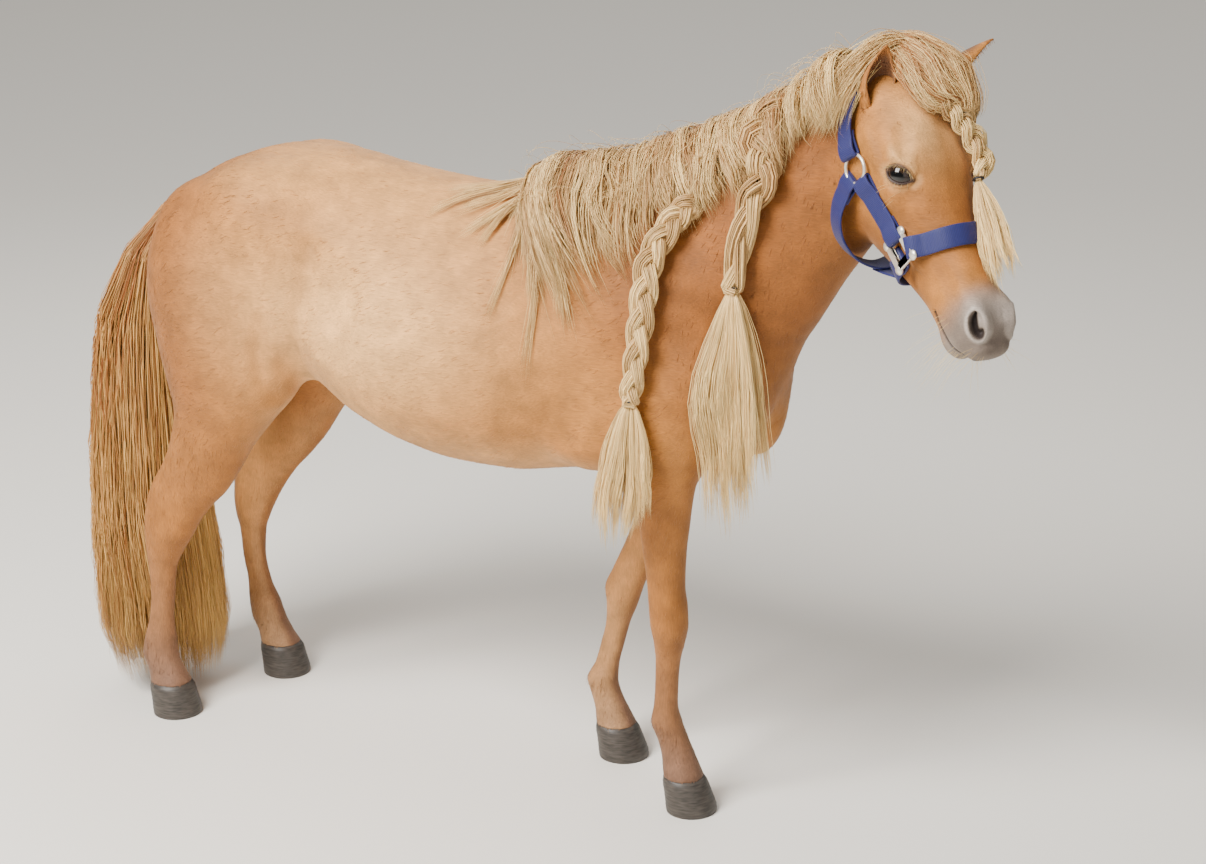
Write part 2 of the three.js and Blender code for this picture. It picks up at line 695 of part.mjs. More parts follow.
// Head, with the eye openings between lids, the nostrils and the line of the mouth cut into it
const headShape = netOf(flesh, {
  corner: inHead(-70, -262, -112),
  axes: [headAlong, headSide, headUp],
  cells: [HEAD_CELL, HEAD_CELL, HEAD_CELL],
  counts: [29, 14, 20],
});
const inHeadBehind = beyond(POLL_CUT.clone().addScaledVector(pollNormal, SEAM), pollNormal);
let headSolid = largest(solidOf(headShape).intersect(inHeadBehind));
for (const hand of [1, -1]) {
  const eyeAt = inHead(EYE.s, EYE.u, hand * EYE.v);
  const outward = headSide.clone().multiplyScalar(hand);
  const lidAlong = headAlong.clone().addScaledVector(headUp, 0.85).normalize();
  headSolid = headSolid.add(ball(eyeAt, [EYE_RADIUS + 3, EYE_RADIUS + 2.6, EYE_RADIUS + 2.4], headAlong, headUp, 2));
  const slit = ribbon({
    spine: [eyeAt, eyeAt.clone().addScaledVector(outward, 30)],
    facing: lidAlong,
    width: () => 17,
    depth: () => 30,
    sides: 10,
    rings: 1,
  });
  headSolid = headSolid.subtract(solidOf(slit)).subtract(ball(eyeAt, EYE_RADIUS + SEAM, headAlong, headUp, 2));
  const nose = inHead(NOSTRIL.s, NOSTRIL.u, hand * NOSTRIL.v);
  const slant = headAlong.clone().multiplyScalar(0.9).addScaledVector(headUp, -0.4);
  headSolid = headSolid.subtract(ball(nose, [15, 12, 8], slant, headUp, 1));
  const trail = nose.clone().addScaledVector(headAlong, 13).addScaledVector(headUp, -2);
  headSolid = headSolid.subtract(ball(trail.addScaledVector(outward, -4), [9, 8, 5], headAlong, headUp, 1));
}
const mouthPlate = ribbon({
  spine: [inHead(302, -79, 0), inHead(342, -80, 0), inHead(394, -58, 0)],
  facing: headUp,
  width: () => 130,
  depth: (t) => 1.6 + 1.8 * t,
  sides: 4,
  rings: 4,
});
const mouthCore = ribbon({
  spine: [inHead(270, -79, 0), inHead(342, -80, 0), inHead(368, -70, 0)],
  facing: headUp,
  width: (t) => 54 - 14 * t,
  depth: () => 40,
  sides: 8,
  rings: 3,
});
headSolid = headSolid.subtract(solidOf(mouthPlate).subtract(solidOf(mouthCore)));
place("head", largest(headSolid), COAT);
for (const hand of [1, -1]) {
  const side = hand > 0 ? "left" : "right";
  place(`eye_${side}`, ball(inHead(EYE.s, EYE.u, hand * EYE.v), EYE_RADIUS, headAlong, headUp, 2), EYE_COLOUR, 0.1);
}

// Legs and hooves
function legSolid(name, cut) {
  const table = legRows[name].map((row) => [-row[0], row[1], row[2], row[4]]);
  const [front, back, out] = [1, 2, 3].map((column) => track(table, column));
  const heights = [cut - 0.05, ...legRows[name].map((row) => row[0]).filter((height) => height < cut - 12)];
  const rings = heights.map((height) => {
    const centre = V((front(-height) + back(-height)) / 2, handOf(name) * out(-height), height);
    return Array.from({ length: LEG_SIDES }, (_, i) => {
      const turn = (2 * Math.PI * i) / LEG_SIDES;
      const ray = V(Math.cos(turn), Math.sin(turn), 0);
      const own = reachOf(legs[name], centre, ray, 200);
      return centre.clone().addScaledVector(ray, reachOf(flesh, centre, ray, own * 1.25));
    });
  });
  return solidOf(skinOf(rings));
}

// How far a ray from inside a field runs before it first comes out
function reachOf(field, from, ray, most) {
  const at = (d) => field(from.x + ray.x * d, from.y + ray.y * d, from.z + ray.z * d);
  let near = 0;
  let far = 0;
  while (far < most) {
    const depth = at(far);
    if (depth >= 0) break;
    near = far;
    far += Math.max(1.5, -0.6 * depth);
  }
  if (far >= most) return most;
  for (let turn = 0; turn < 20; turn += 1) {
    const half = (near + far) / 2;
    if (at(half) < 0) near = half;
    else far = half;
  }
  return near;
}

function hoofSolid(name) {
  const [, front, back, half, out] = legRows[name][legRows[name].length - 1];
  const toe = name.startsWith("front") ? 20 : 15;
  const levels = [
    [CORONET - SEAM, front - 1, back + 1, half - 1],
    [CORONET - 9, front + 5, back + 1, half + 2.5],
    [26, front + toe * 0.6, back + 4, half + 5],
    [0, front + toe, back + 8, half + 8],
  ];
  const rings = levels.map(([height, toeAt, heelAt, width]) =>
    Array.from({ length: 12 }, (_, i) => {
      const turn = (2 * Math.PI * i) / 12;
      const c = Math.cos(turn);
      const long = Math.sign(c) * Math.pow(Math.abs(c), c < 0 ? 0.75 : 1);
      return V(
        (toeAt + heelAt) / 2 + ((toeAt - heelAt) / 2) * long,
        handOf(name) * out + width * Math.sin(turn) * (c < 0 ? 0.9 + 0.1 * (1 + c) : 1),
        height,
      );
    }),
  );
  return solidOf(skinOf(rings));
}
for (const name of Object.keys(legRows)) {
  const leg = legSolid(name, name.startsWith("front") ? FRONT_LEG_CUT : HIND_LEG_CUT);
  place(`leg_${name}`, leg, COAT);
  place(`hoof_${name}`, hoofSolid(name), HOOF, 0.6);
}

// Ears: leaf shaped cups rooted beside the poll
const EAR = {
  right: { root: inHead(23, -26, -50), reach: V(19, -10, 77), opening: V(0.62, -0.76, 0.1) },
  left: { root: inHead(12, -9, 58), reach: V(56, 45, 56), opening: V(0.73, 0.1, -0.68) },
};
function earSolid(hand) {
  const { root, reach, opening: faces } = EAR[hand > 0 ? "left" : "right"];
  const tip = root.clone().add(reach);
  const opening = faces.clone().projectOnPlane(reach).normalize();
  const width = track([[0, 36], [0.25, 46], [0.5, 44], [0.75, 29], [1, 2]], 1);
  const leaf = (grow, shift, from, to) =>
    ribbon({
      spine: [0, 0.3, 0.65, 1].map((t) => {
        const at = root.clone().lerp(tip, from + (to - from) * t);
        return at.addScaledVector(opening, shift - 7 * t * t * t);
      }),
      facing: opening,
      width: (t) => width(from + (to - from) * t) - grow,
      depth: (t) => (width(from + (to - from) * t) - grow) * 0.6,
      sides: 8,
      rings: 5,
      point: true,
    });
  return solidOf(leaf(0, 0, 0, 1)).subtract(solidOf(leaf(9, 6, 0.36, 0.93)));
}
const legShapes = Object.fromEntries(
  Object.keys(legRows).map((name) => [name, geometryFrom(solids[`leg_${name}`])]),
);
const trunkGrown = solidOf(grown(trunkShape, 0.7)).intersect(beyond(POLL_CUT, pollNormal.clone().negate()));
const fleshGrown = trunkGrown.add(solidOf(grown(headShape, 0.9)).intersect(beyond(POLL_CUT, pollNormal)));
const legsGrown = joined(Object.values(legShapes).map((shape) => solidOf(grown(shape, 0.7))));
for (const hand of [1, -1])
  place(`ear_${hand > 0 ? "left" : "right"}`, largest(earSolid(hand).subtract(fleshGrown)), COAT);
// The space that finished pieces take, with the gap round them
const roomOf = (name, gap = 0.6) => solids[name].add(solidOf(grown(geometryFrom(solids[name]), gap)));
const room = (...names) => joined(names.map((name) => roomOf(name)));
const earsGrown = roomOf("ear_left", 1.2).add(roomOf("ear_right", 1.2));

// The surface of the flesh seen from a point inside it
const surface = (from, ray, lift = 0) => {
  const unit = ray.clone().normalize();
  return from.clone().addScaledVector(unit, reachOf(flesh, from, unit, 400) + lift);
};
// The right side of the neck or shoulder at a place in side view
const rightSide = (x, z, lift) => surface(V(x, -8, z), V(0, -1, 0), lift);

// Halter of flat webbing: bands lie on the head a little off the coat
const BAND = { width: 25, depth: 3.2, lift: 4.4 };
function bandAround(stations, { from = -62, lift = BAND.lift } = {}) {
  const spine = stations.map(([s, degrees, extra = 0]) => {
    const turn = rad(degrees);
    const out = headSide.clone().multiplyScalar(Math.cos(turn)).addScaledVector(headUp, Math.sin(turn));
    return surface(inHead(s, from, 0), out, lift + extra);
  });
  return bandThrough(spine, inHead(stations[0][0], from, 0));
}
function bandThrough(spine, inside) {
  return solidOf(
    ribbon({
      spine,
      facing: (t, at) => at.clone().sub(inside),
      width: () => BAND.width,
      depth: () => BAND.depth,
      sides: 4,
      rings: Math.max(4, Math.round(spine.length * 1.3)),
    }),
  );
}
const mirrored = (stations) => stations.map(([s, degrees, ...rest]) => [s, 180 - degrees, ...rest]);
const wholeBand = (half) => [...half, ...mirrored(half).reverse().slice(1)];

const RING = { s: 92, u: -72, radius: 19, wire: 2.3 };
const FITTING = { s: 214, u: -68, long: 42, wide: 40, bar: 7.5 };
const hardware = { right: -1, left: 1 };
const cuts = [];
for (const [side, hand] of Object.entries(hardware)) {
  const out = headSide.clone().multiplyScalar(hand);
  const ringAt = surface(inHead(RING.s, RING.u, 0), out, 6);
  const tilt = new THREE.Matrix4().makeBasis(
    headAlong.clone(),
    new THREE.Vector3().crossVectors(out, headAlong),
    out.clone(),
  );
  const ring = new THREE.TorusGeometry(RING.radius, RING.wire, 5, 12);
  ring.applyMatrix4(tilt.clone().setPosition(ringAt));
  place(`halter_ring_${side}`, solidOf(ring), METAL, 0.3, 1);
  const disc = new THREE.CylinderGeometry(RING.radius + RING.wire + 0.6, RING.radius + RING.wire + 0.6, 30, 14);
  disc.rotateX(Math.PI / 2).applyMatrix4(tilt.clone().setPosition(ringAt));
  cuts.push(solidOf(disc));
  const fittingAt = surface(inHead(FITTING.s, FITTING.u, 0), out, 7);
  const lay = tilt.clone().multiply(new THREE.Matrix4().makeRotationZ(hand * rad(-8)));
  const frame = (...size) => {
    const shape = new THREE.BoxGeometry(...size);
    shape.applyMatrix4(lay.clone().setPosition(fittingAt));
    return solidOf(shape);
  };
  const { long, wide, bar } = FITTING;
  place(`halter_fitting_${side}`, frame(long, wide, 4.4).subtract(frame(long - 2 * bar, wide - 2 * bar, 9)), METAL, 0.3, 1);
  cuts.push(frame(long + 0.7, wide + 0.7, 30));
}
const metalRoom = joined(cuts);
const strap = (name, solid) => place(`halter_${name}`, largest(solid.subtract(metalRoom).subtract(fleshGrown).subtract(earsGrown)), WEBBING);
const noseHalf = [[214, 188], [218, 170], [223, 150], [227, 125], [229, 105], [230, 90]];
strap("noseband", bandAround(wholeBand(noseHalf)));
const chinHalf = [[217, 190], [219, 215], [221, 240], [222, 256], [222, 270]];
strap("chin_strap", bandAround([...chinHalf, ...chinHalf.slice(0, -1).reverse().map(([s, a]) => [s, 540 - a])]));
for (const [side, hand] of Object.entries(hardware)) {
  const out = headSide.clone().multiplyScalar(hand);
  const spine = [[92, -72], [124, -71], [162, -70], [212, -68]].map(([s, u]) =>
    surface(inHead(s, u, 0), out, BAND.lift),
  );
  strap(`cheekpiece_${side}`, bandThrough(spine, inHead(148, -72, 0)));
}
const crownHalf = [[92, 177], [66, 175], [46, 172], [22, 163], [-1, 152], [-22, 143], [-33, 124], [-40, 106], [-42, 90]];
strap("crownpiece", bandAround(wholeBand(crownHalf), { from: -76, lift: 6.5 }));
const throatHalf = [
  [98, -86, -75],
  [107, -107, -80],
  [120, -128, -82],
  [138, -146, -79],
  [157, -162, -66],
  [175, -176, -40],
  [185, -182, 0],
];
const throat = [...throatHalf, ...throatHalf.slice(0, -1).reverse().map(([s, u, v]) => [s, u, -v])];
strap(
  "throat_strap",
  bandThrough(throat.map((at) => inHead(...at)), inHead(110, -95, 0)).subtract(
    room("halter_cheekpiece_right", "halter_cheekpiece_left"),
  ),
);
const link = solidOf(
  ribbon({
    spine: [inHead(188, -186.5, 0), inHead(204, -168, 0), inHead(219, -148, 0)],
    facing: V(0, 0, 1).addScaledVector(headUp, -1),
    width: () => BAND.width - 5,
    depth: () => 4,
    sides: 4,
    rings: 3,
  }),
);

// Hair: a few named sizes of flat tapered lock, laid along lines of points
const LOCK = {
  tail: { width: 48, depth: 22, rings: 5 },
  mane: { width: 40, depth: 13, rings: 4 },
  wisp: { width: 15, depth: 8, rings: 5 },
  tassel: { width: 28, depth: 12, rings: 3 },
  fringe: { width: 20, depth: 9, rings: 4 },
};
let draw = 1;
// The same spread of numbers between 0 and 1 each time the part is made
function chance() {
  draw = (draw * 16807) % 2147483647;
  return draw / 2147483647;
}
const between = (low, high) => low + (high - low) * chance();
const fullness = track([[0, 0.75], [0.25, 1], [0.6, 0.9], [0.85, 0.5], [1, 0.2]], 1);
function lock(kind, spine, facing, scale = 1) {
  const { width, depth, rings } = LOCK[kind];
  return solidOf(
    ribbon({
      spine,
      facing,
      width: (t) => width * scale * fullness(t),
      depth: (t) => depth * (0.5 + 0.5 * scale) * fullness(t),
      sides: 3,
      rings,
      point: true,
    }),
  );
}

// Tail: falls from the dock behind and between the hind legs, its ends just clear of the floor
const TAIL_END = 8;
const tailRows = [
  // [height, x, half across, half along]
  [820, -424, 24, 18],
  [792, -456, 32, 25],
  [745, -482, 50, 40],
  [690, -498, 68, 54],
  [600, -506, 84, 68],
  [450, -508, 96, 76],
  [300, -504, 104, 84],
  [150, -492, 110, 96],
  [60, -484, 100, 94],
  [TAIL_END, -480, 76, 76],
].reverse();
const [tailAt, tailAcross, tailAlong] = [1, 2, 3].map((column) => track(tailRows, column));
const inTail = (height, turn, share) =>
  V(tailAt(height) - share * tailAlong(height) * Math.cos(turn), share * tailAcross(height) * Math.sin(turn) - 8, height);
function tailCore() {
  const heights = [820, 780, 715, 600, 440, 260, 60];
  const rings = heights.map((height, r) => {
    const share = r === 0 ? 0.8 : 0.88 - 0.06 * r;
    return Array.from({ length: 9 }, (_, i) => inTail(height, (2 * Math.PI * i) / 9, share));
  });
  return solidOf(skinOf(rings));
}
const TAIL_LOCKS = 15;
const tailHair = [tailCore()];
for (let i = 0; i < TAIL_LOCKS; i += 1) {
  const turn = (2 * Math.PI * (i + between(-0.3, 0.3))) / TAIL_LOCKS;
  const root = i % 3 === 0 ? between(560, 640) : between(690, 780);
  const end = TAIL_END + between(0, 1) * (i % 4 === 1 ? 130 : 55);
  const drift = between(-0.25, 0.25);
  const swell = between(0.93, 1.08);
  const spine = [0, 0.12, 0.35, 0.6, 0.82, 1].map((t, n) => {
    const height = root + (end - root) * t;
    const share = n === 0 ? 0.6 : (0.9 + 0.1 * t) * swell - (n === 5 ? 0.12 : 0);
    return inTail(height, turn + drift * t, share);
  });
  tailHair.push(lock("tail", spine, (t, at) => V(at.x - tailAt(at.z), (at.y + 8) * 0.8, 0), between(0.8, 1.15)));
}
const aboveFloor = beyond(V(0, 0, TAIL_END - 6), V(0, 0, 1));
place("tail", largest(joined(tailHair).subtract(trunkGrown).subtract(legsGrown).intersect(aboveFloor)), FLAXEN);

// Places on the neck and back: station along the crest, degrees from straight up towards the right
const crestRows = [
  // [station, x, height of the axis, degrees of the lower edge, lift at the top, lean]
  [-2, 60, 770, 30, 2, 0],
  [-1, 145, 785, 60, 4, 0],
  [0, 218, 800, 84, 12, 0],
  [1, 262, 806, 98, 20, 0],
  [2, 318, 818, 92, 22, -1],
  [3, 380, 840, 86, 18, -4],
  [4, 440, 870, 80, 17, -7],
  [5, 505, 905, 82, 17, -10],
  [6, 565, 945, 84, 22, -15],
  [7, 620, 985, 76, 30, -20],
  [8, 668, 1022, 60, 36, -26],
];
const [crestX, crestZ, crestEdge, crestLift, crestLean] = [1, 2, 3, 4, 5].map((c) => track(crestRows, c));
function onNeck(station, degrees, lift) {
  const centre = V(crestX(station), crestLean(station), crestZ(station));
  const slope = Math.min(0.75 - 0.03 * station, 0.3 + 0.3 * Math.max(station, -1));
  const upward = V(-Math.sin(slope), 0, Math.cos(slope));
  const out = upward.multiplyScalar(Math.cos(rad(degrees))).add(V(0, -Math.sin(rad(degrees)), 0));
  return surface(centre, out, lift);
}

// A plait of three strands: one skin whose bulges stand staggered left and right and meet in slanting creases
function braid({ spine, width, lobes, facing, sides = 8 }) {
  const curve = new THREE.CatmullRomCurve3(spine, false, "centripetal");
  const rings = Math.round(lobes * 4);
  const sections = Array.from({ length: rings + 1 }, (_, r) => {
    const t = r / rings;
    const at = curve.getPointAt(t);
    const tangent = curve.getTangentAt(t);
    const face = facing.clone().addScaledVector(tangent, -facing.dot(tangent)).normalize();
    const across = new THREE.Vector3().crossVectors(tangent, face);
    return Array.from({ length: sides }, (_, i) => {
      const turn = (2 * Math.PI * i) / sides;
      const slant = Math.acos(Math.cos(turn)) / 2;
      const bulge = 0.76 + 0.24 * Math.abs(Math.sin(Math.PI * lobes * t + slant));
      return at
        .clone()
        .addScaledVector(across, Math.cos(turn) * width(t) * 0.5 * bulge)
        .addScaledVector(face, Math.sin(turn) * width(t) * 0.34 * bulge);
    });
  });
  return solidOf(skinOf(sections));
}
// The space a plait takes, as a plain tube
function braidRoom(spine, width) {
  const reach = [spine[0].clone().lerp(spine[1], -0.3), ...spine];
  const extent = (t) => (width(Math.max(0, t - 0.03)) + 4) * 1.12;
  return solidOf(ribbon({ spine: reach, facing: V(0.15, -1, 0.15), width: extent, depth: extent, sides: 8, rings: 8 }));
}
// How far a tassel has spread at a share of its length
const fanned = (t) => Math.sin(0.62 * Math.PI * Math.pow(t, 0.75));
function tassel({ top, bottom, spread, locks, depth, kind = "tassel", laid = (at) => at }) {
  const hair = [];
  for (let i = 0; i < locks; i += 1) {
    const side = (2 * (i + 0.5)) / locks - 1 + between(-0.08, 0.08);
    const front = (i % 2 ? 1 : -1) * between(0.3, 1);
    const length = between(0.82, 1) * (1 - 0.16 * Math.max(0, side));
    const end = bottom.clone().sub(top).multiplyScalar(length).add(top);
    const spine = [0, 0.25, 0.6, 1].map((t) =>
      top
        .clone()
        .lerp(end, t)
        .add(V(spread * 0.5 * side * fanned(t), depth * 0.5 * front * Math.pow(t, 0.8), 0)),
    ).map((at, n) => (n ? laid(at) : at));
    spine[0].add(V(0, 0, 7));
    hair.push(lock(kind, spine, V(0.12 * side, -1, 0), between(0.85, 1.2)));
  }
  return joined(hair);
}
// A braid with its waist turned down to fit the tie
function bound(name, hair, at, along, radius) {
  const wide = new THREE.CylinderGeometry(60, 60, 7, 8);
  wide.applyQuaternion(new THREE.Quaternion().setFromUnitVectors(V(0, 1, 0), along.clone().normalize()));
  wide.translate(at.x, at.y, at.z);
  const neckRoom = solidOf(wide);
  const pin = new THREE.CylinderGeometry(radius - SEAM, radius - SEAM, 26, 10);
  pin.applyQuaternion(new THREE.Quaternion().setFromUnitVectors(V(0, 1, 0), along.clone().normalize()));
  pin.translate(at.x, at.y, at.z);
  const collarShape = (r, long) => {
    const shape = new THREE.CylinderGeometry(r, r, long, 12);
    shape.applyQuaternion(new THREE.Quaternion().setFromUnitVectors(V(0, 1, 0), along.clone().normalize()));
    shape.translate(at.x, at.y, at.z);
    return solidOf(shape);
  };
  place(name, collarShape(radius + 2.4, 6.2).subtract(collarShape(radius, 20)), TIE, 0.7);
  return hair.subtract(neckRoom).add(solidOf(pin));
}

const frontBraid = [onNeck(6.7, 20, 6), onNeck(6.1, 44, 17), rightSide(561, 956, 19), rightSide(540, 902, 16), rightSide(526, 806, 14)];
const rearBraid = [rightSide(458, 905, 8), rightSide(434, 878, 18), rightSide(416, 832, 18), rightSide(417, 775, 17), rightSide(416, 709, 16), rightSide(410, 648, 14)];
const frontWidth = track([[0, 50], [0.35, 54], [0.7, 40], [1, 24]], 1);
const rearWidth = track([[0, 42], [0.3, 42], [0.7, 36], [1, 24]], 1);
const down = V(0, 0, -1);
// A place of a lock at the pony's right, moved out until it lies on the shoulder
const onShoulder = (at) => V(at.x, Math.min(at.y, rightSide(at.x, at.z, 10).y), at.z);
function sideBraid(name, spine, width, lobes, tail) {
  const last = spine[spine.length - 1];
  const waist = last.clone().add(V(0, 0, -5));
  const plait = braid({ spine: [...spine, waist], width, lobes, facing: V(0.15, -1, 0.15) });
  const fan = tassel({ top: waist.clone().add(V(0, 0, -4)), laid: onShoulder, ...tail });
  const hair = bound(`tie_${name}`, plait.add(fan), waist, down, 7.5);
  place(`braid_${name}`, largest(hair.subtract(fleshGrown).subtract(legsGrown)), FLAXEN);
}
sideBraid("front", frontBraid, frontWidth, 6.5, {
  bottom: V(553, frontBraid[4].y - 10, 466),
  spread: 116,
  depth: 30,
  locks: 7,
});
sideBraid("rear", rearBraid, rearWidth, 9.5, {
  bottom: V(395, rearBraid[5].y - 2, 442),
  spread: 82,
  depth: 24,
  locks: 6,
});

// Mane: a pad along the crest with locks over it that fall to the right, and loose ones over the back
function manePad() {
  const rings = [0.2, 1.2, 2.5, 4, 5.5, 7, 7.9].map((station) => {
    const edge = crestEdge(station) * 0.72;
    const arc = Array.from({ length: 5 }, (_, i) => {
      const t = i / 4;
      const lift = crestLift(station) * 0.75 * Math.pow(Math.sin(Math.PI * (0.14 + 0.76 * t)), 0.6);
      return onNeck(station, -20 + (edge + 20) * t, lift);
    });
    const centre = V(crestX(station), crestLean(station), crestZ(station));
    return [...arc, centre.clone().add(V(0, 0, -8)), centre.clone().add(V(0, 8, 8))];
  });
  return solidOf(skinOf(rings));
}
const maneHair = [manePad()];
const MANE_LOCKS = 12;
for (let i = 0; i < MANE_LOCKS; i += 1) {
  const station = 0.5 + (7.2 * (i + between(-0.2, 0.2))) / (MANE_LOCKS - 1);
  const back = between(0.1, 0.5);
  const edge = crestEdge(station) * between(0.95, 1.25);
  const high = between(0.8, 1.25);
  const spine = [0, 0.2, 0.45, 0.75, 1].map((t, n) => {
    const lift = n === 0 ? -9 : crestLift(station) * (n === 4 ? 0.5 : 1) * high;
    return onNeck(station - back * t, -8 + (edge + 8) * t, lift);
  });
  maneHair.push(lock("mane", spine, (t, at) => V(-0.3, at.y - 20, (at.z - crestZ(station)) * 0.8), between(0.8, 1.2)));
}
// Loose locks flung back over the withers and down behind the shoulder
const looseLines = [
  [[1.9, 12], [1.1, 16], [0.4, 22], [-0.6, 32], [-1.5, 48]],
  [[1.7, 18], [1.0, 26], [0.2, 36], [-0.6, 50], [-1.2, 66]],
  [[1.5, 6], [0.8, 9], [0, 14], [-1, 20], [-1.9, 30]],
  [[2.1, 26], [1.5, 44], [1.0, 66], [0.6, 86], [0.3, 104]],
  [[2.4, 30], [1.9, 52], [1.5, 78], [1.2, 100], [0.9, 118]],
  [[1.3, 10], [0.6, 22], [0, 38], [-0.5, 56], [-0.8, 74]],
];
looseLines.forEach((line, i) => {
  const spine = line.map(([station, degrees], n) => onNeck(station, degrees, n === 0 ? -2 : n === 4 ? 5 : 10));
  maneHair.push(lock("wisp", spine, (t, at) => V(0, at.y - 10, (at.z - 790) * 0.9), i === 2 ? 1.3 : 1.6));
});
place(
  "mane",
  largest(
    joined(maneHair)
      .subtract(fleshGrown)
      .subtract(earsGrown)
      .subtract(braidRoom(frontBraid, frontWidth))
      .subtract(braidRoom(rearBraid, rearWidth))
      .subtract(room("halter_crownpiece")),
  ),
  FLAXEN,
);

// Forelock: combed over to the left brow, plaited, its tassel hanging beside the nose
const fringe = [];
const fringePad = [inHead(-24, 2, 8), inHead(4, 23, 14), inHead(32, 31, 18), inHead(58, 31, 34), inHead(84, 28, 34)];
fringe.push(
  solidOf(
    ribbon({
      spine: fringePad,
      facing: headUp,
      width: track([[0, 72], [0.25, 104], [0.5, 106], [0.75, 64], [1, 36]], 1),
      depth: track([[0, 30], [0.3, 36], [0.6, 34], [1, 22]], 1),
      sides: 6,
      rings: 4,
    }),
  ),
);
for (let i = 0; i < 5; i += 1) {
  const side = i / 2 - 1;
  const spine = [
    inHead(-30 + 8 * Math.abs(side), -6, 6 + 34 * side),
    inHead(-6 + 6 * Math.abs(side), 37 - 12 * Math.abs(side), 12 + 42 * side),
    inHead(26 - 6 * side, 48 - 15 * Math.abs(side), 18 + 44 * side),
    inHead(56 - 4 * side, 44 - 8 * Math.abs(side), 32 + 24 * side),
    inHead(88, 31, 35 + 6 * side),
  ];
  fringe.push(lock("fringe", spine, headUp, between(1.1, 1.4)));
}
const forelockBraid = [
  inHead(50, 28, 14),
  inHead(64, 31, 21),
  inHead(84, 31, 31),
  inHead(112, 28, 41),
  inHead(143, 26, 44),
  inHead(166, 24, 25),
];
const forelockWidth = track([[0, 38], [0.5, 38], [0.85, 33], [1, 20]], 1);
const forelockWaist = forelockBraid[5].clone();
const forelockPlait = braid({ spine: forelockBraid, width: forelockWidth, lobes: 5, facing: headUp, sides: 5 });
const forelockFan = tassel({
  top: forelockWaist.clone().add(V(1, -1, -5)),
  bottom: inHead(320, 16, 6),
  spread: 54,
  depth: 20,
  locks: 4,
  kind: "fringe",
});
const forelockHair = bound("tie_forelock", forelockPlait.add(forelockFan), forelockWaist, V(0.35, -0.4, -0.85), 6.5);
place(
  "forelock",
  largest(
    joined(fringe)
      .add(forelockHair)
      .subtract(fleshGrown)
      .subtract(ball(inHead(EYE.s, EYE.u, EYE.v), EYE_RADIUS + 4, headAlong, headUp, 1))
      .subtract(earsGrown)
      .subtract(metalRoom)
      .subtract(room("halter_noseband", "halter_crownpiece")),
  ),
  FLAXEN,
);
place(
  "halter_jaw_strap",
  largest(link.subtract(fleshGrown).subtract(room("halter_throat_strap", "halter_chin_strap"))),
  WEBBING,
);

// The origin goes to the middle of the whole, at the floor
const whole = new THREE.Box3().setFromObject(pony);
const middle = whole.getCenter(V(0, 0, 0));
for (const mesh of pony.children) mesh.geometry.translate(-middle.x, -middle.y, -whole.min.z);

export default pony;
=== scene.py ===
# A standing Shetland pony with a plaited mane and forelock and a webbing halter, dressed over its packed
# frame. Shapes are worked out in millimetres in the pony's own frame: +X forward, +Y to its left, +Z up, and
# then moved to the frame's metres by one shift.
import math
from contextlib import contextmanager

import bmesh
import bpy
import numpy as np
from mathutils import Color, Matrix, Vector
from mathutils.bvhtree import BVHTree


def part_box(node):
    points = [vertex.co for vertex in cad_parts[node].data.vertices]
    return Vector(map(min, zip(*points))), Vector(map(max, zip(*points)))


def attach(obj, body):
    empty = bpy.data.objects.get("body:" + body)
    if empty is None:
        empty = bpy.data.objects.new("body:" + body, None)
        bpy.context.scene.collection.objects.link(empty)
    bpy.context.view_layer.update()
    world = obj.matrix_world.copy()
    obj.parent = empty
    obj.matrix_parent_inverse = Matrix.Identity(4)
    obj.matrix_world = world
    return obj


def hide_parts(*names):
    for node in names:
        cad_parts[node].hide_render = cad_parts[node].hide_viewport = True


bl_info = {
    "name": "Shetland pony",
    "version": (1, 0, 0),
    "blender": (4, 5, 0),
    "location": "3D View > Sidebar > Pony",
    "description": "Skin, coat, mane, tail, hooves, eyes and halter of a standing Shetland pony",
    "category": "Object",
}

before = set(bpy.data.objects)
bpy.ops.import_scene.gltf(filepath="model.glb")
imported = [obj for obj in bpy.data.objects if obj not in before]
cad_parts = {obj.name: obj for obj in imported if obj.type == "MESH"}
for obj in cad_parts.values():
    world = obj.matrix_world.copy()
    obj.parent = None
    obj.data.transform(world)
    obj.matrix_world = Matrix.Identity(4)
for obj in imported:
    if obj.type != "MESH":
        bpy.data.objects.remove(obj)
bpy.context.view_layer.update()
# The near fore hoof tells how far the frame's origin lies from the pony's own
SHIFT = np.array(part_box("hoof_front_right")[0]) - np.array([0.425, -0.104, 0.0])
FLESH_NODES = [
    "torso", "neck", "head", "ear_left", "ear_right",
    "leg_front_left", "leg_front_right", "leg_hind_left", "leg_hind_right",
]
SEAM_SWELL = 0.0004
EAR_THICKNESS = 0.0030
CHESTNUT_HEIGHTS = {"front_left": 385, "front_right": 400}
SIDES = {"right": -1, "left": 1}


def linear(red, green, blue):
    """A colour given as 0 to 255, as the shader wants it."""
    shares = [value / 255 for value in (red, green, blue)]
    return tuple(s / 12.92 if s <= 0.04045 else ((s + 0.055) / 1.055) ** 2.4 for s in shares)


def unit(vector):
    vector = np.asarray(vector, float)
    return vector / np.maximum(np.linalg.norm(vector, axis=-1, keepdims=True), 1e-9)


def ease(low, high, x):
    """Rises smoothly from 0 to 1 between two values, or falls where they are given high first."""
    t = np.clip((np.asarray(x, float) - low) / (high - low), 0, 1)
    return t * t * (3 - 2 * t)


def bell(x, middle, width):
    """One at the middle, falling off smoothly on both sides."""
    return np.exp(-(((x - middle) / width) ** 2))


def to_frame(points):
    return np.asarray(points, float) * 0.001 + SHIFT


def from_frame(points):
    return (np.asarray(points, float) - SHIFT) * 1000


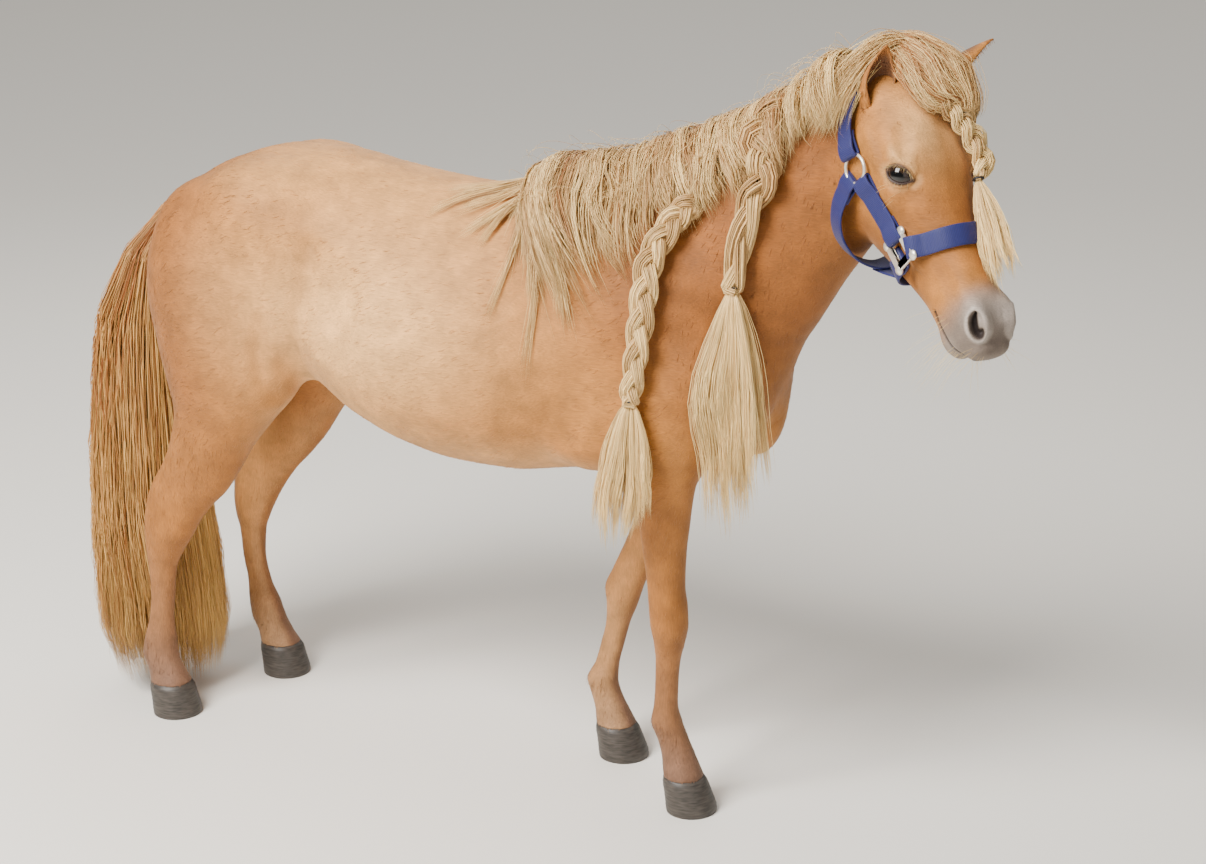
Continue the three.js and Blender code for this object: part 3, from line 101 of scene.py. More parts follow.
def moved_to(place):
    """A shift of a finished shape to a place in the pony's own frame."""
    return Matrix.Translation(Vector(to_frame(place)))


class Track:
    """A smooth curve through one column of a table whose first column is where each row stands."""

    def __init__(self, rows, column):
        self.at = np.array([row[0] for row in rows], float)
        self.value = np.array([row[column] for row in rows], float)
        rise = np.diff(self.value) / np.diff(self.at)
        before, after = rise[:-1], rise[1:]
        turning = before * after <= 0
        total = np.where(turning, 1.0, before + after)
        inner = np.where(turning, 0.0, 2 * before * after / total)
        self.slope = np.concatenate([rise[:1], inner, rise[-1:]])

    def __call__(self, x):
        x = np.clip(x, self.at[0], self.at[-1])
        i = np.clip(np.searchsorted(self.at, x, side="right") - 1, 0, len(self.at) - 2)
        step = self.at[i + 1] - self.at[i]
        t = (x - self.at[i]) / step
        u = 1 - t
        ends = u * u * (1 + 2 * t) * self.value[i] + t * t * (3 - 2 * t) * self.value[i + 1]
        return ends + step * t * u * (u * self.slope[i] - t * self.slope[i + 1])


# Fields: below zero inside the flesh, about the distance in millimetres outside
def blend(a, b, reach):
    h = np.maximum(reach - np.abs(a - b), 0) / reach
    return np.minimum(a, b) - h * h * reach / 4


def carve(a, b, reach):
    return -blend(-a, b, reach)


class Loft:
    """A body drawn through stations along an axis. Each row: station, top, bottom, half width, lean, height
    of the widest level as a share, squareness above and below."""

    def __init__(self, origin, along, up, rows, caps):
        self.origin = np.array(origin, float)
        self.axes = np.array([along, up, np.cross(up, along)], float)
        self.tracks = [Track(rows, column) for column in range(1, 8)]
        self.first, self.last = rows[0][0], rows[-1][0]
        self.caps = caps

    def __call__(self, p):
        s, u, v = ((p - self.origin) @ self.axes.T).T
        at = np.clip(s, self.first, self.last)
        top, bottom, half, lean, widest, above, below = [track(at) for track in self.tracks]
        centre = bottom + (top - bottom) * widest
        du, dv = u - centre, v - lean
        h = np.where(du > 0, top - centre, centre - bottom)
        n = np.where(du > 0, above, below)
        ring = (np.abs(dv / half) ** n + np.abs(du / h) ** n) ** (1 / n)
        r = np.maximum(np.hypot(ring, (s - at) / np.where(s < at, self.caps[0], self.caps[1])), 0.05)
        size = np.sqrt(du * du + dv * dv + (s - at) ** 2)
        return np.where(r <= 0.05, -np.minimum(half, h), size * (1 - 1 / r))


class Lump:
    """A muscle or bone as an ellipsoid, long along its own axis."""

    def __init__(self, at, radii, along=(1, 0, 0), up=(0, 0, 1)):
        a = unit(along)
        side = unit(np.cross(up, a))
        self.at = np.array(at, float)
        self.axes = np.array([a, side, np.cross(a, side)])
        self.radii = np.array(radii, float)

    def __call__(self, p):
        d = p - self.at
        n = np.maximum(np.linalg.norm((d @ self.axes.T) / self.radii, axis=1), 0.05)
        return np.where(n <= 0.05, -self.radii.min(), np.linalg.norm(d, axis=1) * (1 - 1 / n))


# Torso, along +X: x, top, bottom, half width, lean, widest, squareness above, below
torso = Loft((0, 0, 0), (1, 0, 0), (0, 0, 1), [
    [-415, 815, 690, 62, 0, 0.5, 2, 2],
    [-385, 848, 640, 112, 0, 0.55, 2, 2],
    [-320, 886, 600, 150, 0, 0.58, 2.1, 2],
    [-230, 911, 572, 174, 0, 0.58, 2.1, 2],
    [-140, 912, 552, 180, 0, 0.52, 2, 2.1],
    [-60, 901, 512, 192, 0, 0.46, 1.95, 2.2],
    [20, 891, 486, 204, 0, 0.43, 1.95, 2.2],
    [100, 886, 473, 207, 0, 0.42, 1.9, 2.2],
    [180, 893, 471, 199, 0, 0.42, 1.85, 2.2],
    [250, 920, 480, 178, 0, 0.42, 1.6, 2.2],
    [320, 915, 492, 158, 0, 0.42, 1.6, 2.2],
    [400, 880, 505, 148, 0, 0.42, 1.8, 2.2],
    [470, 820, 532, 132, 0, 0.45, 2, 2.1],
    [515, 765, 575, 104, 0, 0.5, 2, 2],
    [540, 720, 620, 68, 0, 0.5, 2, 2],
], (18, 16))

# Neck, along a line from the shoulders to the poll
NECK_RISE = math.radians(42)
NECK_ALONG = np.array([math.cos(NECK_RISE), 0, math.sin(NECK_RISE)])
NECK_UP = np.array([-math.sin(NECK_RISE), 0, math.cos(NECK_RISE)])
neck = Loft((330, 0, 770), NECK_ALONG, NECK_UP, [
    [-60, 140, -262, 126, 0, 0.42, 1.7, 2.1],
    [20, 143, -266, 118, 0, 0.42, 1.65, 2.1],
    [110, 126, -236, 102, 0, 0.42, 1.65, 2.1],
    [180, 104, -218, 90, -1, 0.44, 1.7, 2.1],
    [262, 70, -192, 77, -4, 0.47, 1.8, 2.1],
    [340, 40, -172, 68, -10, 0.5, 1.9, 2.1],
    [410, 22, -152, 62, -19, 0.5, 2, 2.1],
    [480, 4, -134, 58, -29, 0.5, 2, 2.1],
], (90, 40))

# Head, along the line of the face from the poll to the lips
POLL = np.array([733, -31, 1090.0])
HEAD_TURN = (
    Matrix.Rotation(math.radians(-33), 3, "Z")
    @ Matrix.Rotation(math.radians(52.5), 3, "Y")
    @ Matrix.Rotation(math.radians(-2), 3, "X")
)
HEAD_ALONG, HEAD_SIDE, HEAD_UP = np.array(HEAD_TURN).T
HEAD_AXES = np.array([HEAD_ALONG, HEAD_UP, HEAD_SIDE])


def in_head(s, u, v):
    """A place given down the face, out of the forehead and to the pony's left."""
    down, out = np.multiply.outer(s, HEAD_ALONG), np.multiply.outer(u, HEAD_UP)
    return POLL + down + out + np.multiply.outer(v, HEAD_SIDE)


def head_places(p):
    return (p - POLL) @ HEAD_AXES.T


skull = Loft(POLL, HEAD_ALONG, HEAD_UP, [
    [0, 0, -128, 52, 0, 0.6, 2, 2],
    [38, 13, -156, 66, 0, 0.62, 2.2, 2],
    [80, 19, -172, 73, 0, 0.64, 2.3, 2],
    [122, 15, -174, 71, 0, 0.66, 2.3, 2],
    [168, 7, -160, 61, 0, 0.62, 2.2, 2.1],
    [210, 1, -141, 50, 0, 0.6, 2.1, 2.1],
    [250, -3, -123, 43, 0, 0.58, 2.1, 2.2],
    [288, -5, -109, 39, 0, 0.58, 2.2, 2.2],
    [322, -6, -101, 40, 0, 0.59, 2.3, 2.2],
    [350, -11, -92, 38, 0, 0.6, 2.3, 2.2],
    [372, -25, -74, 28, 0, 0.58, 2.2, 2.2],
], (22, 12))
EYE_RADIUS = 19
EYE = (128.4, -22, 51.8)
SOCKET = (129, -21, 54)
NOSTRIL = (343, -18, 33)


def on_both_sides(s, u, v, radii):
    return [Lump(in_head(s, u, side * v), radii, HEAD_ALONG, HEAD_UP) for side in (1, -1)]


FACE_BONES = [
    *on_both_sides(SOCKET[0] - 19, SOCKET[1] + 13, SOCKET[2] + 2, [22, 16, 12]),  # brow over the eye
    *on_both_sides(SOCKET[0] + 12, SOCKET[1] - 20, SOCKET[2] + 1, [24, 14, 12]),  # under the eye
    *on_both_sides(98, -112, 38, [62, 27, 58]),  # round cheek
    *on_both_sides(196, -60, 43, [50, 10, 15]),  # cheek bone
    *on_both_sides(NOSTRIL[0] - 7, NOSTRIL[1] - 6, NOSTRIL[2] - 9, [27, 13, 20]),  # wing of the nostril
]
CHIN = Lump(in_head(338, -93, 0), [26, 23, 15], HEAD_ALONG, HEAD_UP)
JAW_GROOVE = Lump(in_head(160, -182, 0), [92, 17, 26], HEAD_ALONG, HEAD_UP)


def head(p):
    f = skull(p)
    for bone in FACE_BONES:
        f = blend(f, bone(p), 16)
    f = blend(f, CHIN(p), 14)
    return carve(f, JAW_GROOVE(p), 16)


# Legs. Each row: height, front, back, half width, distance from the middle
CORONET = 52
LEG_ROWS = {
    "front_right": [
        [640, 486, 356, 50, 98], [575, 492, 344, 52, 100], [525, 482, 352, 47, 98], [480, 471, 374, 41, 94],
        [445, 465, 388, 36, 90], [395, 459, 395, 31, 86], [345, 457, 400, 28, 82], [318, 460, 402, 30, 80],
        [288, 461, 404, 30, 78], [260, 456, 409, 26, 76], [232, 450, 411, 19, 75], [195, 447, 410, 16.5, 73],
        [160, 446, 408, 18, 71], [132, 452, 404, 24, 69], [108, 462, 412, 21, 67], [82, 473, 420, 24, 66],
        [CORONET, 485, 424, 31, 65],
    ],
    "front_left": [
        [640, 462, 334, 50, 98], [575, 462, 314, 52, 100], [525, 444, 312, 47, 97], [480, 420, 322, 41, 93],
        [445, 402, 323, 36, 88], [395, 376, 310, 31, 82], [345, 352, 293, 28, 77], [300, 334, 275, 30, 73],
        [270, 324, 264, 30, 70], [243, 316, 267, 26, 69], [215, 306, 266, 19, 68], [180, 298, 259, 16.5, 66],
        [145, 290, 250, 18, 65], [118, 288, 238, 24, 64], [96, 296, 244, 21, 63], [74, 308, 252, 24, 62],
        [CORONET, 319, 256, 31, 62],
    ],
}
# The hind legs differ in front and back only: height, right front and back, left front and back, half, out
HIND_ROWS = [
    [800, -190, -372, -190, -372, 66, 92], [740, -168, -405, -168, -405, 80, 96],
    [680, -156, -412, -152, -408, 84, 98], [615, -150, -404, -140, -396, 80, 102],
    [560, -165, -388, -152, -372, 70, 108], [510, -204, -376, -188, -352, 58, 112],
    [460, -244, -385, -226, -360, 47, 114], [420, -268, -402, -252, -378, 39, 114],
    [385, -292, -424, -280, -400, 33, 113], [355, -322, -437, -308, -416, 30, 112],
    [325, -346, -443, -330, -424, 31, 111], [298, -362, -445, -346, -425, 30, 110],
    [268, -382, -444, -360, -422, 26, 109], [240, -394, -442, -369, -416, 20, 109],
    [200, -398, -441, -371, -413, 17, 109], [155, -402, -446, -362, -405, 17, 109],
    [118, -400, -456, -346, -402, 23, 109], [92, -398, -460, -336, -398, 24, 109],
    [72, -388, -452, -324, -388, 24, 109], [CORONET, -378, -446, -312, -380, 31, 109],
]
LEG_ROWS["hind_right"] = [[row[0], *row[1:3], *row[5:]] for row in HIND_ROWS]
LEG_ROWS["hind_left"] = [[row[0], *row[3:5], *row[5:]] for row in HIND_ROWS]


def hand_of(name):
    return 1 if name.endswith("left") else -1


def leg(rows, hand):
    table = [[-row[0], *row[1:4], hand * row[4], 0.5, 2.1, 2.1] for row in rows]
    return Loft((0, 0, 0), (0, 0, -1), (1, 0, 0), table, (30, 10))


def leg_tracks(name):
    """Front, back and distance from the middle of a leg, all read at a height with its sign changed."""
    rows = [[-row[0], *row[1:]] for row in LEG_ROWS[name]]
    return [Track(rows, column) for column in (1, 2, 4)]


LEGS = {name: leg(rows, hand_of(name)) for name, rows in LEG_ROWS.items()}
SIDE_MUSCLES = [
    Lump((352, 92, 740), [175, 52, 92], (0.62, 0.1, -0.78), (0.78, 0, 0.62)),  # shoulder
    Lump((455, 96, 632), [92, 50, 66], (0.8, 0, 0.6), (-0.6, 0, 0.8)),  # point of shoulder
    Lump((350, 112, 585), [86, 44, 62], (0.8, 0, 0.6), (-0.6, 0, 0.8)),  # elbow muscle
    Lump((-215, 104, 815), [104, 74, 78], (1, 0, -0.2)),  # croup
    Lump((-345, 92, 725), [72, 66, 128]),  # buttock
    Lump((505, 52, 590), [46, 44, 76]),  # breast
]
FLANK = Lump((-92, 196, 742), [62, 26, 84])


def flesh(p):
    """The whole body as one field."""
    f = torso(p)
    mirrored = p.copy()
    mirrored[:, 1] = np.abs(mirrored[:, 1])
    for muscle in SIDE_MUSCLES:
        f = blend(f, muscle(mirrored), 42)
    f = carve(f, FLANK(mirrored), 40)
    f = blend(f, neck(p), 62)
    for where, names, reach in (
        (p[:, 0] < 60, ("hind_right", "hind_left"), 34),
        (p[:, 0] > 120, ("front_right", "front_left"), 30),
    ):
        for name in names:
            f[where] = blend(f[where], LEGS[name](p[where]), reach)
    where = p[:, 0] > 500
    f[where] = blend(f[where], head(p[where]), 26)
    return f


def slope_of(field, p, step=1.0):
    """Gradient of a field at many points."""
    slope = np.empty_like(p)
    for axis in range(3):
        ahead, behind = p.copy(), p.copy()
        ahead[:, axis] += step
        behind[:, axis] -= step
        slope[:, axis] = (field(ahead) - field(behind)) / (2 * step)
    return slope


# Finer forms of the face, which only the skin carries
FACE_RAISED = [
    *on_both_sides(194, -57, 50, [42, 6, 5.5]),  # facial crest
    *on_both_sides(86, -38, 67, [34, 7, 9]),  # arch behind the eye
    *on_both_sides(366, -42, 12, [15, 15, 15]),  # upper lip
]
FACE_HOLLOWS = [
    *on_both_sides(94, 9, 57, [20, 10, 10]),  # over the eye
    *on_both_sides(284, -30, 48, [40, 12, 10]),  # beside the nose bone
    *on_both_sides(232, -98, 52, [46, 14, 13]),  # between cheek bone and jaw
]
LID_BALLS = on_both_sides(*EYE, [EYE_RADIUS + 2.2, EYE_RADIUS + 2.0, EYE_RADIUS + 1.8])


def fine_flesh(p):
    """The body with the finer forms of the face."""
    f = flesh(p)
    where = p[:, 0] > 640
    q = p[where]
    g = f[where]
    for bone in FACE_RAISED:
        g = blend(g, bone(q), 9)
    for hollow in FACE_HOLLOWS:
        g = carve(g, hollow(q), 14)
    for ball in LID_BALLS:
        g = blend(g, ball(q), 8)
    f[where] = g
    return f


def head_share(p):
    """How far a place is past the cut behind the jaw, in millimetres."""
    return (p - [700, -25, 1090]) @ unit([0.97, -0.2, -0.17])


def coat_depth(p):
    """How far the skin lies below the coat's outer surface."""
    on_head = ease(-30, 40, head_share(p))
    on_leg = ease(520, 430, p[:, 2])
    muzzle = ease(270, 320, head_places(p)[:, 0]) * on_head
    return 3.2 - 1.9 * on_head - 1.7 * on_leg * (1 - on_head) - 0.7 * muzzle


def skin_field(p):
    return fine_flesh(p) + coat_depth(p)


def settled(field, p, turns):
    """Points drawn onto the surface where a field is zero, at most 5 mm in one turn."""
    for _ in range(turns):
        slope = slope_of(field, p)
        move = -slope * (field(p) / np.maximum((slope**2).sum(1), 0.15))[:, None]
        size = np.linalg.norm(move, axis=1, keepdims=True)
        p = p + move * np.minimum(1, 5 / np.maximum(size, 1e-9))
    return p


# Eye openings and nostrils
EYE_LENGTH, EYE_TOP, EYE_BOTTOM = 18.3, 12.2, 9.2


class Spot:
    """Middle and axes of an opening on one side of the head: along it, across it upwards, and out of it."""

    def __init__(self, side, middle, out, long):
        s, u, v = middle
        self.centre = in_head(s, u, side * v)
        self.out = unit(out[0] * HEAD_ALONG + out[1] * HEAD_UP + side * out[2] * HEAD_SIDE)
        long = long[0] * HEAD_ALONG + long[1] * HEAD_UP
        self.long = unit(long - (long @ self.out) * self.out)
        up = HEAD_UP - (HEAD_UP @ self.out) * self.out
        self.up = unit(up - (up @ self.long) * self.long)

    def local(self, p):
        return (p - self.centre) @ np.array([self.long, self.up, self.out]).T

    def place(self, a, b, c):
        along, across = np.multiply.outer(a, self.long), np.multiply.outer(b, self.up)
        return self.centre + along + across + np.multiply.outer(c, self.out)


EYES = {name: Spot(side, EYE, (0.26, 0.42, 0.87), (1, 0.85)) for name, side in SIDES.items()}
NOSTRIL_HALF = (18.5, 10)
NOSTRILS = [Spot(side, (348, -16.5, 31), (0.25, 0.43, 0.87), (1, -0.39)) for side in SIDES.values()]


def eye_edge(a):
    """Heights of the upper and lower lid edges along the eye opening."""
    rise = np.maximum(1 - (np.abs(a) / EYE_LENGTH) ** 2.2, 0) ** 0.8
    return EYE_TOP * rise, -EYE_BOTTOM * rise


def from_eye_opening(a, b):
    """Distance from the edge of the eye opening, below zero inside it."""
    high, low = eye_edge(a)
    across = np.maximum(b - high, low - b) * 0.9
    beyond = np.hypot(np.maximum(np.abs(a) - EYE_LENGTH, 0), np.where(np.abs(a) > EYE_LENGTH, b, 0))
    return np.where(np.abs(a) > EYE_LENGTH, beyond, across)


def shape_lids(p):
    """Opens the skin over each eye and lays the lids on the eyeball."""
    for eye in EYES.values():
        local = eye.local(p)
        radius = np.linalg.norm(local, axis=1)
        near = (radius < 40) & (local[:, 2] > -3)
        a, b, c = local[near].T
        d = from_eye_opening(a, b)
        lid = EYE_RADIUS + 0.7 + 2.3 * ease(0, 4.5, d)
        crease = 1.3 * bell(d, 6.2, 1.5) * ease(0, 5, b)
        target = np.where(d < 0, EYE_RADIUS - 2.6, lid - crease)
        share = 1 - ease(6, 14, d)
        wanted = radius[near] + (target - radius[near]) * share
        p[near] = eye.centre + (p[near] - eye.centre) * (wanted / radius[near])[:, None]
    return p


MOUTH_LINE = Track([[296, -76], [312, -79], [342, -79], [366, -71], [392, -57]], 1)


def from_nostril(p, spot):
    """Distance from the edge of a nostril, below zero inside it, and share of its inner fold."""
    a, b, c = spot.local(p).T
    share = np.hypot(a / NOSTRIL_HALF[0], b / NOSTRIL_HALF[1])
    edge = np.hypot(a, b) * (1 - 1 / np.maximum(share, 0.05))
    edge = np.where((c > -16) & (np.hypot(a, b) < 60), edge, 99)
    return edge, ease(-2, 4, b) * ease(13, 3, a)


def shape_muzzle(p, normals):
    """Nostrils with a raised rim, and the line of the mouth."""
    for spot in NOSTRILS:
        edge, fold = from_nostril(p, spot)
        near = edge < 12
        depth = (14 * ease(1.0, -4.0, edge) * (1 - 0.72 * fold))[near]
        rim = (1.5 * bell(edge, 3.2, 2.6))[near]
        p[near] += depth[:, None] * unit(-spot.out - 0.35 * HEAD_ALONG) + normals[near] * rim[:, None]
    s, u, v = head_places(p).T
    gap = np.abs(u - MOUTH_LINE(s))
    near = (s > 292) & (gap < 14) & (head_share(p) > 40)
    open_share = ease(295, 306, s)
    depth = 9 * open_share * ease(4.4, 1.0, gap) + 0.9 * open_share * bell(gap, 0, 8)
    p[near] -= normals[near] * depth[near][:, None]
    return p


# Soft lines of the body: path through the skin, width, depth (raised where below zero)
BODY_LINES = [
    ([(372, 128, 640), (330, 150, 606), (296, 158, 560)], 13, 2.2),  # behind the elbow
    ([(-110, 176, 640), (-140, 160, 590), (-165, 132, 556)], 15, 2.6),  # fold of the flank
    ([(-300, 150, 560), (-345, 120, 480), (-372, 112, 420)], 11, 1.6),  # along the gaskin
    ([(430, 130, 760), (440, 138, 690), (420, 140, 640)], 16, 1.8),  # front of the shoulder
    ([(250, 168, 850), (300, 158, 760), (380, 140, 680)], 12, 1.0),  # along the shoulder blade
    ([(120, 205, 560), (60, 208, 540), (-20, 200, 535)], 10, 0.8),  # lower barrel
    ([(-101, 170, 800), (-110, 180, 730), (-128, 176, 655), (-162, 160, 605)], 15, 7.5),  # thigh's front
    ([(-184, 170, 680), (-197, 165, 630), (-192, 158, 585), (-178, 150, 555)], 11, 4.6),  # above the stifle
    ([(-227, 170, 706), (-237, 165, 644), (-232, 158, 584)], 12, 3.0),  # between the muscles of the thigh
    ([(-152, 175, 705), (-162, 168, 640)], 18, -3.6),  # muscle before the stifle
]


def shape_body_lines(p, normals):
    """Sinks or raises the skin along the body lines, on both sides alike. Distances towards the pony's side
    count for less, because the paths lie a little off the skin."""
    nearer = [1, 0.4, 1]
    mirrored = p * nearer
    mirrored[:, 1] = np.abs(mirrored[:, 1])
    outward = ease(0.1, 0.6, normals[:, 1] * np.sign(p[:, 1]))
    for path, width, depth in BODY_LINES:
        path = np.array(path) * nearer
        least = np.full(len(p), 1e9)
        for start, end in zip(path[:-1], path[1:]):
            step = end - start
            t = np.clip((mirrored - start) @ step / (step @ step), 0, 1)
            least = np.minimum(least, np.linalg.norm(mirrored - start - t[:, None] * step, axis=1))
        p = p - normals * (depth * outward * bell(least, 0, width))[:, None]
    return p


def shape_lower_legs(p, normals):
    """Grooves between bone and tendon."""
    x, y, z = p.T.copy()
    for name in LEG_ROWS:
        front, back, out = [track(-z) for track in leg_tracks(name)]
        middle = back + (front - back) * 0.42
        top = 225 if name.startswith("front") else 245
        near = (z < top + 30) & (z > 112) & (np.abs(y - hand_of(name) * out) < 34)
        near &= (x > back - 8) & (x < front + 8)
        ends = ease(118, 140, z) * ease(top + 20, top - 10, z)
        groove = 1.9 * bell(x, middle, 5.5) * ends * np.abs(normals[:, 1]) ** 2
        p[near] -= normals[near] * groove[near][:, None]
    return p


def read_mesh(mesh, what):
    values = np.empty(len(mesh.vertices) * 3, np.float32)
    mesh.vertices.foreach_get(what, values)
    return values.reshape(-1, 3).astype(float)


def mesh_places(mesh):
    return from_frame(read_mesh(mesh, "co"))


def mesh_normals(mesh):
    return read_mesh(mesh, "normal")


def put_places(mesh, p):
    mesh.vertices.foreach_set("co", to_frame(p).astype(np.float32).ravel())
    mesh.update()


def new_object(name, mesh):
    obj = bpy.data.objects.new(name, mesh)
    bpy.context.scene.collection.objects.link(obj)
    return obj


def object_of(name, shape):
    """Turns a bmesh into an object and frees it."""
    mesh = bpy.data.meshes.new(name)
    shape.to_mesh(mesh)
    shape.free()
    mesh.polygons.foreach_set("use_smooth", [True] * len(mesh.polygons))
    return new_object(name, mesh)


def finished(name, shape, material):
    """Turns a closed bmesh into an object, with its faces outwards and its material on."""
    bmesh.ops.recalc_face_normals(shape, faces=shape.faces)
    obj = object_of(name, shape)
    obj.data.materials.append(material)
    return obj


def add_copy(whole, part):
    """Adds a finished bmesh to another one and frees it."""
    mesh = bpy.data.meshes.new("part")
    part.to_mesh(mesh)
    part.free()
    whole.from_mesh(mesh)
    bpy.data.meshes.remove(mesh)


def applied(obj):
    """The mesh of an object with its modifiers, which then are gone."""
    graph = bpy.context.evaluated_depsgraph_get()
    mesh = bpy.data.meshes.new_from_object(obj.evaluated_get(graph))
    old = obj.data
    obj.modifiers.clear()
    obj.data = mesh
    bpy.data.meshes.remove(old)
    return mesh


def joined_flesh(swell):
    """Copies of the flesh nodes but the ears, swollen a little so that their seams close, with the openings
    of the head filled."""
    whole = bmesh.new()
    for name in FLESH_NODES:
        if name.startswith("ear"):
            continue
        part = bmesh.new()
        part.from_mesh(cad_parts[name].data)
        bmesh.ops.remove_doubles(part, verts=part.verts, dist=1e-5)
        part.normal_update()
        for vert in part.verts:
            vert.co += vert.normal * swell
        add_copy(whole, part)
    fills = []
    for side in (1, -1):
        fills.append((EYE[0], EYE[1], side * EYE[2], 0.0195, 1))
        fills.append((344, -22, side * 23, 0.015, 1))
    for s, u in ((312, -78), (338, -78), (360, -68)):
        fills.append((s, u, 0, 0.021, 1.1))
    for s, u, v, radius, wide in fills:
        spot = moved_to(in_head(s, u, v)) @ Matrix.Diagonal((wide, wide, 1, 1))
        bmesh.ops.create_icosphere(whole, subdivisions=3, radius=radius, matrix=spot)
    return whole


@contextmanager
def editing(mesh):
    """A bmesh of a mesh, which is written back to it afterwards."""
    shape = bmesh.new()
    shape.from_mesh(mesh)
    yield shape
    shape.to_mesh(mesh)
    shape.free()


def divide_where(mesh, wanted):
    """Cuts each edge in two whose ends both lie where a test on their places says."""
    chosen = wanted(mesh_places(mesh))
    with editing(mesh) as shape:
        shape.verts.ensure_lookup_table()
        edges = [e for e in shape.edges if chosen[e.verts[0].index] and chosen[e.verts[1].index]]
        bmesh.ops.subdivide_edges(shape, edges=edges, cuts=1, use_grid_fill=True)


def smoothed(shape, share):
    bmesh.ops.smooth_vert(
        shape, verts=shape.verts, factor=share, use_axis_x=True, use_axis_y=True, use_axis_z=True
    )


def relax(mesh):
    """Evens out a mesh a little, twice."""
    with editing(mesh) as shape:
        smoothed(shape, 0.5)
        smoothed(shape, 0.5)


def near_detail(p):
    """Lids, nostrils and lips, where the skin's net is finest."""
    chosen = np.zeros(len(p), bool)
    for eye in EYES.values():
        chosen |= (np.linalg.norm(p - eye.centre, axis=1) < 34) & (eye.local(p)[:, 2] > 0)
    s, u, v = head_places(p).T
    muzzle = (s > 322) & (s < 384) & (u > -44) & (np.abs(v) > 8)
    mouth = (s > 288) & (np.abs(u - MOUTH_LINE(s)) < 12)
    return chosen | ((muzzle | mouth) & (head_share(p) > 40))


def make_skin(cell):
    """One closed net over the whole body, fine on the head and finest at eyes, nostrils and mouth."""
    obj = object_of("skin", joined_flesh(SEAM_SWELL))
    remesh = obj.modifiers.new("net", "REMESH")
    remesh.mode = "VOXEL"
    remesh.voxel_size = cell
    mesh = applied(obj)
    put_places(mesh, settled(skin_field, mesh_places(mesh), 2))
    relax(mesh)
    divide_where(mesh, lambda p: head_share(p) > -14)
    put_places(mesh, settled(skin_field, mesh_places(mesh), 2))
    divide_where(mesh, near_detail)
    put_places(mesh, settled(skin_field, mesh_places(mesh), 1))
    normals = mesh_normals(mesh)
    p = shape_body_lines(mesh_places(mesh), normals)
    p = shape_lower_legs(p, normals)
    p = shape_lids(p)
    put_places(mesh, shape_muzzle(p, normals))
    return obj


# Ears: leaf shaped cups rooted beside the poll
EARS = {
    # root, reach to the tip, the way the cup opens
    "right": (in_head(23, -26, -50), np.array([19, -10, 77.0]), np.array([0.62, -0.76, 0.1])),
    "left": (in_head(12, -9, 58), np.array([56, 45, 56.0]), np.array([0.73, 0.1, -0.68])),
}
EAR_WIDTH = Track([[0, 34], [0.12, 41], [0.3, 46], [0.5, 43], [0.72, 30], [0.9, 14], [1, 2.5]], 1)
EAR_WRAP = Track([[0, 168], [0.2, 150], [0.45, 118], [0.75, 98], [1, 80]], 1)


def ear_axes(side):
    root, reach, opening = EARS[side]
    lean = unit(reach)
    opening = unit(opening - (opening @ lean) * lean)
    return root, np.linalg.norm(reach), lean, opening


def ear_place(side, t, around):
    """A place on an ear: 0 to 1 from root to tip, and -1 to 1 from one edge round the back to the other."""
    root, length, lean, opening = ear_axes(side)
    turn = np.radians(EAR_WRAP(t)) * around
    middle = root - 8 * lean + t * lean * (length + 8) - 3 * t**3 * opening
    wide = EAR_WIDTH(t) * 0.5 * np.sin(turn) * np.cross(lean, opening)
    return middle + wide - EAR_WIDTH(t) * 0.38 * np.cos(turn) * opening


def by_corners(face):
    """A number of its own for each face, from its first and last corner."""
    corners = [vert.index for vert in face.verts]
    return min(corners) * 10000 + max(corners)


def add_ear(shape, side):
    """A thin cup that is rolled to a tube at its root."""
    ear = bmesh.new()
    bmesh.ops.create_grid(ear, x_segments=22, y_segments=26, size=1)
    for vert in ear.verts:
        t = min(max((vert.co.y + 1) / 2, 0), 1)
        vert.co = to_frame(ear_place(side, t, vert.co.x * 0.98))
    bmesh.ops.recalc_face_normals(ear, faces=ear.faces)
    facing = Vector(EARS[side][2])
    if sum(f.normal.dot(facing) * f.calc_area() for f in ear.faces) > 0:
        bmesh.ops.reverse_faces(ear, faces=ear.faces)
    bmesh.ops.solidify(ear, geom=ear.faces[:], thickness=EAR_THICKNESS)
    bmesh.ops.recalc_face_normals(ear, faces=ear.faces)
    # The rim's faces come in no fixed order, so they are put in one
    ear.verts.index_update()
    ear.faces.sort(key=by_corners)
    smoothed(ear, 0.3)
    add_copy(shape, ear)


# Colours of the coat, alike on skin and tufts
def mottled(p):
    """Lighter and darker hair in uneven patches, from a centimetre to a hand across."""
    total = np.zeros(len(p))
    for size, share in ((52, 0.45), (21, 0.55), (9, 0.6)):
        x, y, z = (p / size).T
        wave = np.sin(x + 1.7 * np.sin(1.3 * y + 0.6 * z))
        total += share * wave * np.sin(1.1 * z + 1.9 * np.sin(0.9 * x - 0.7 * y))
    return total


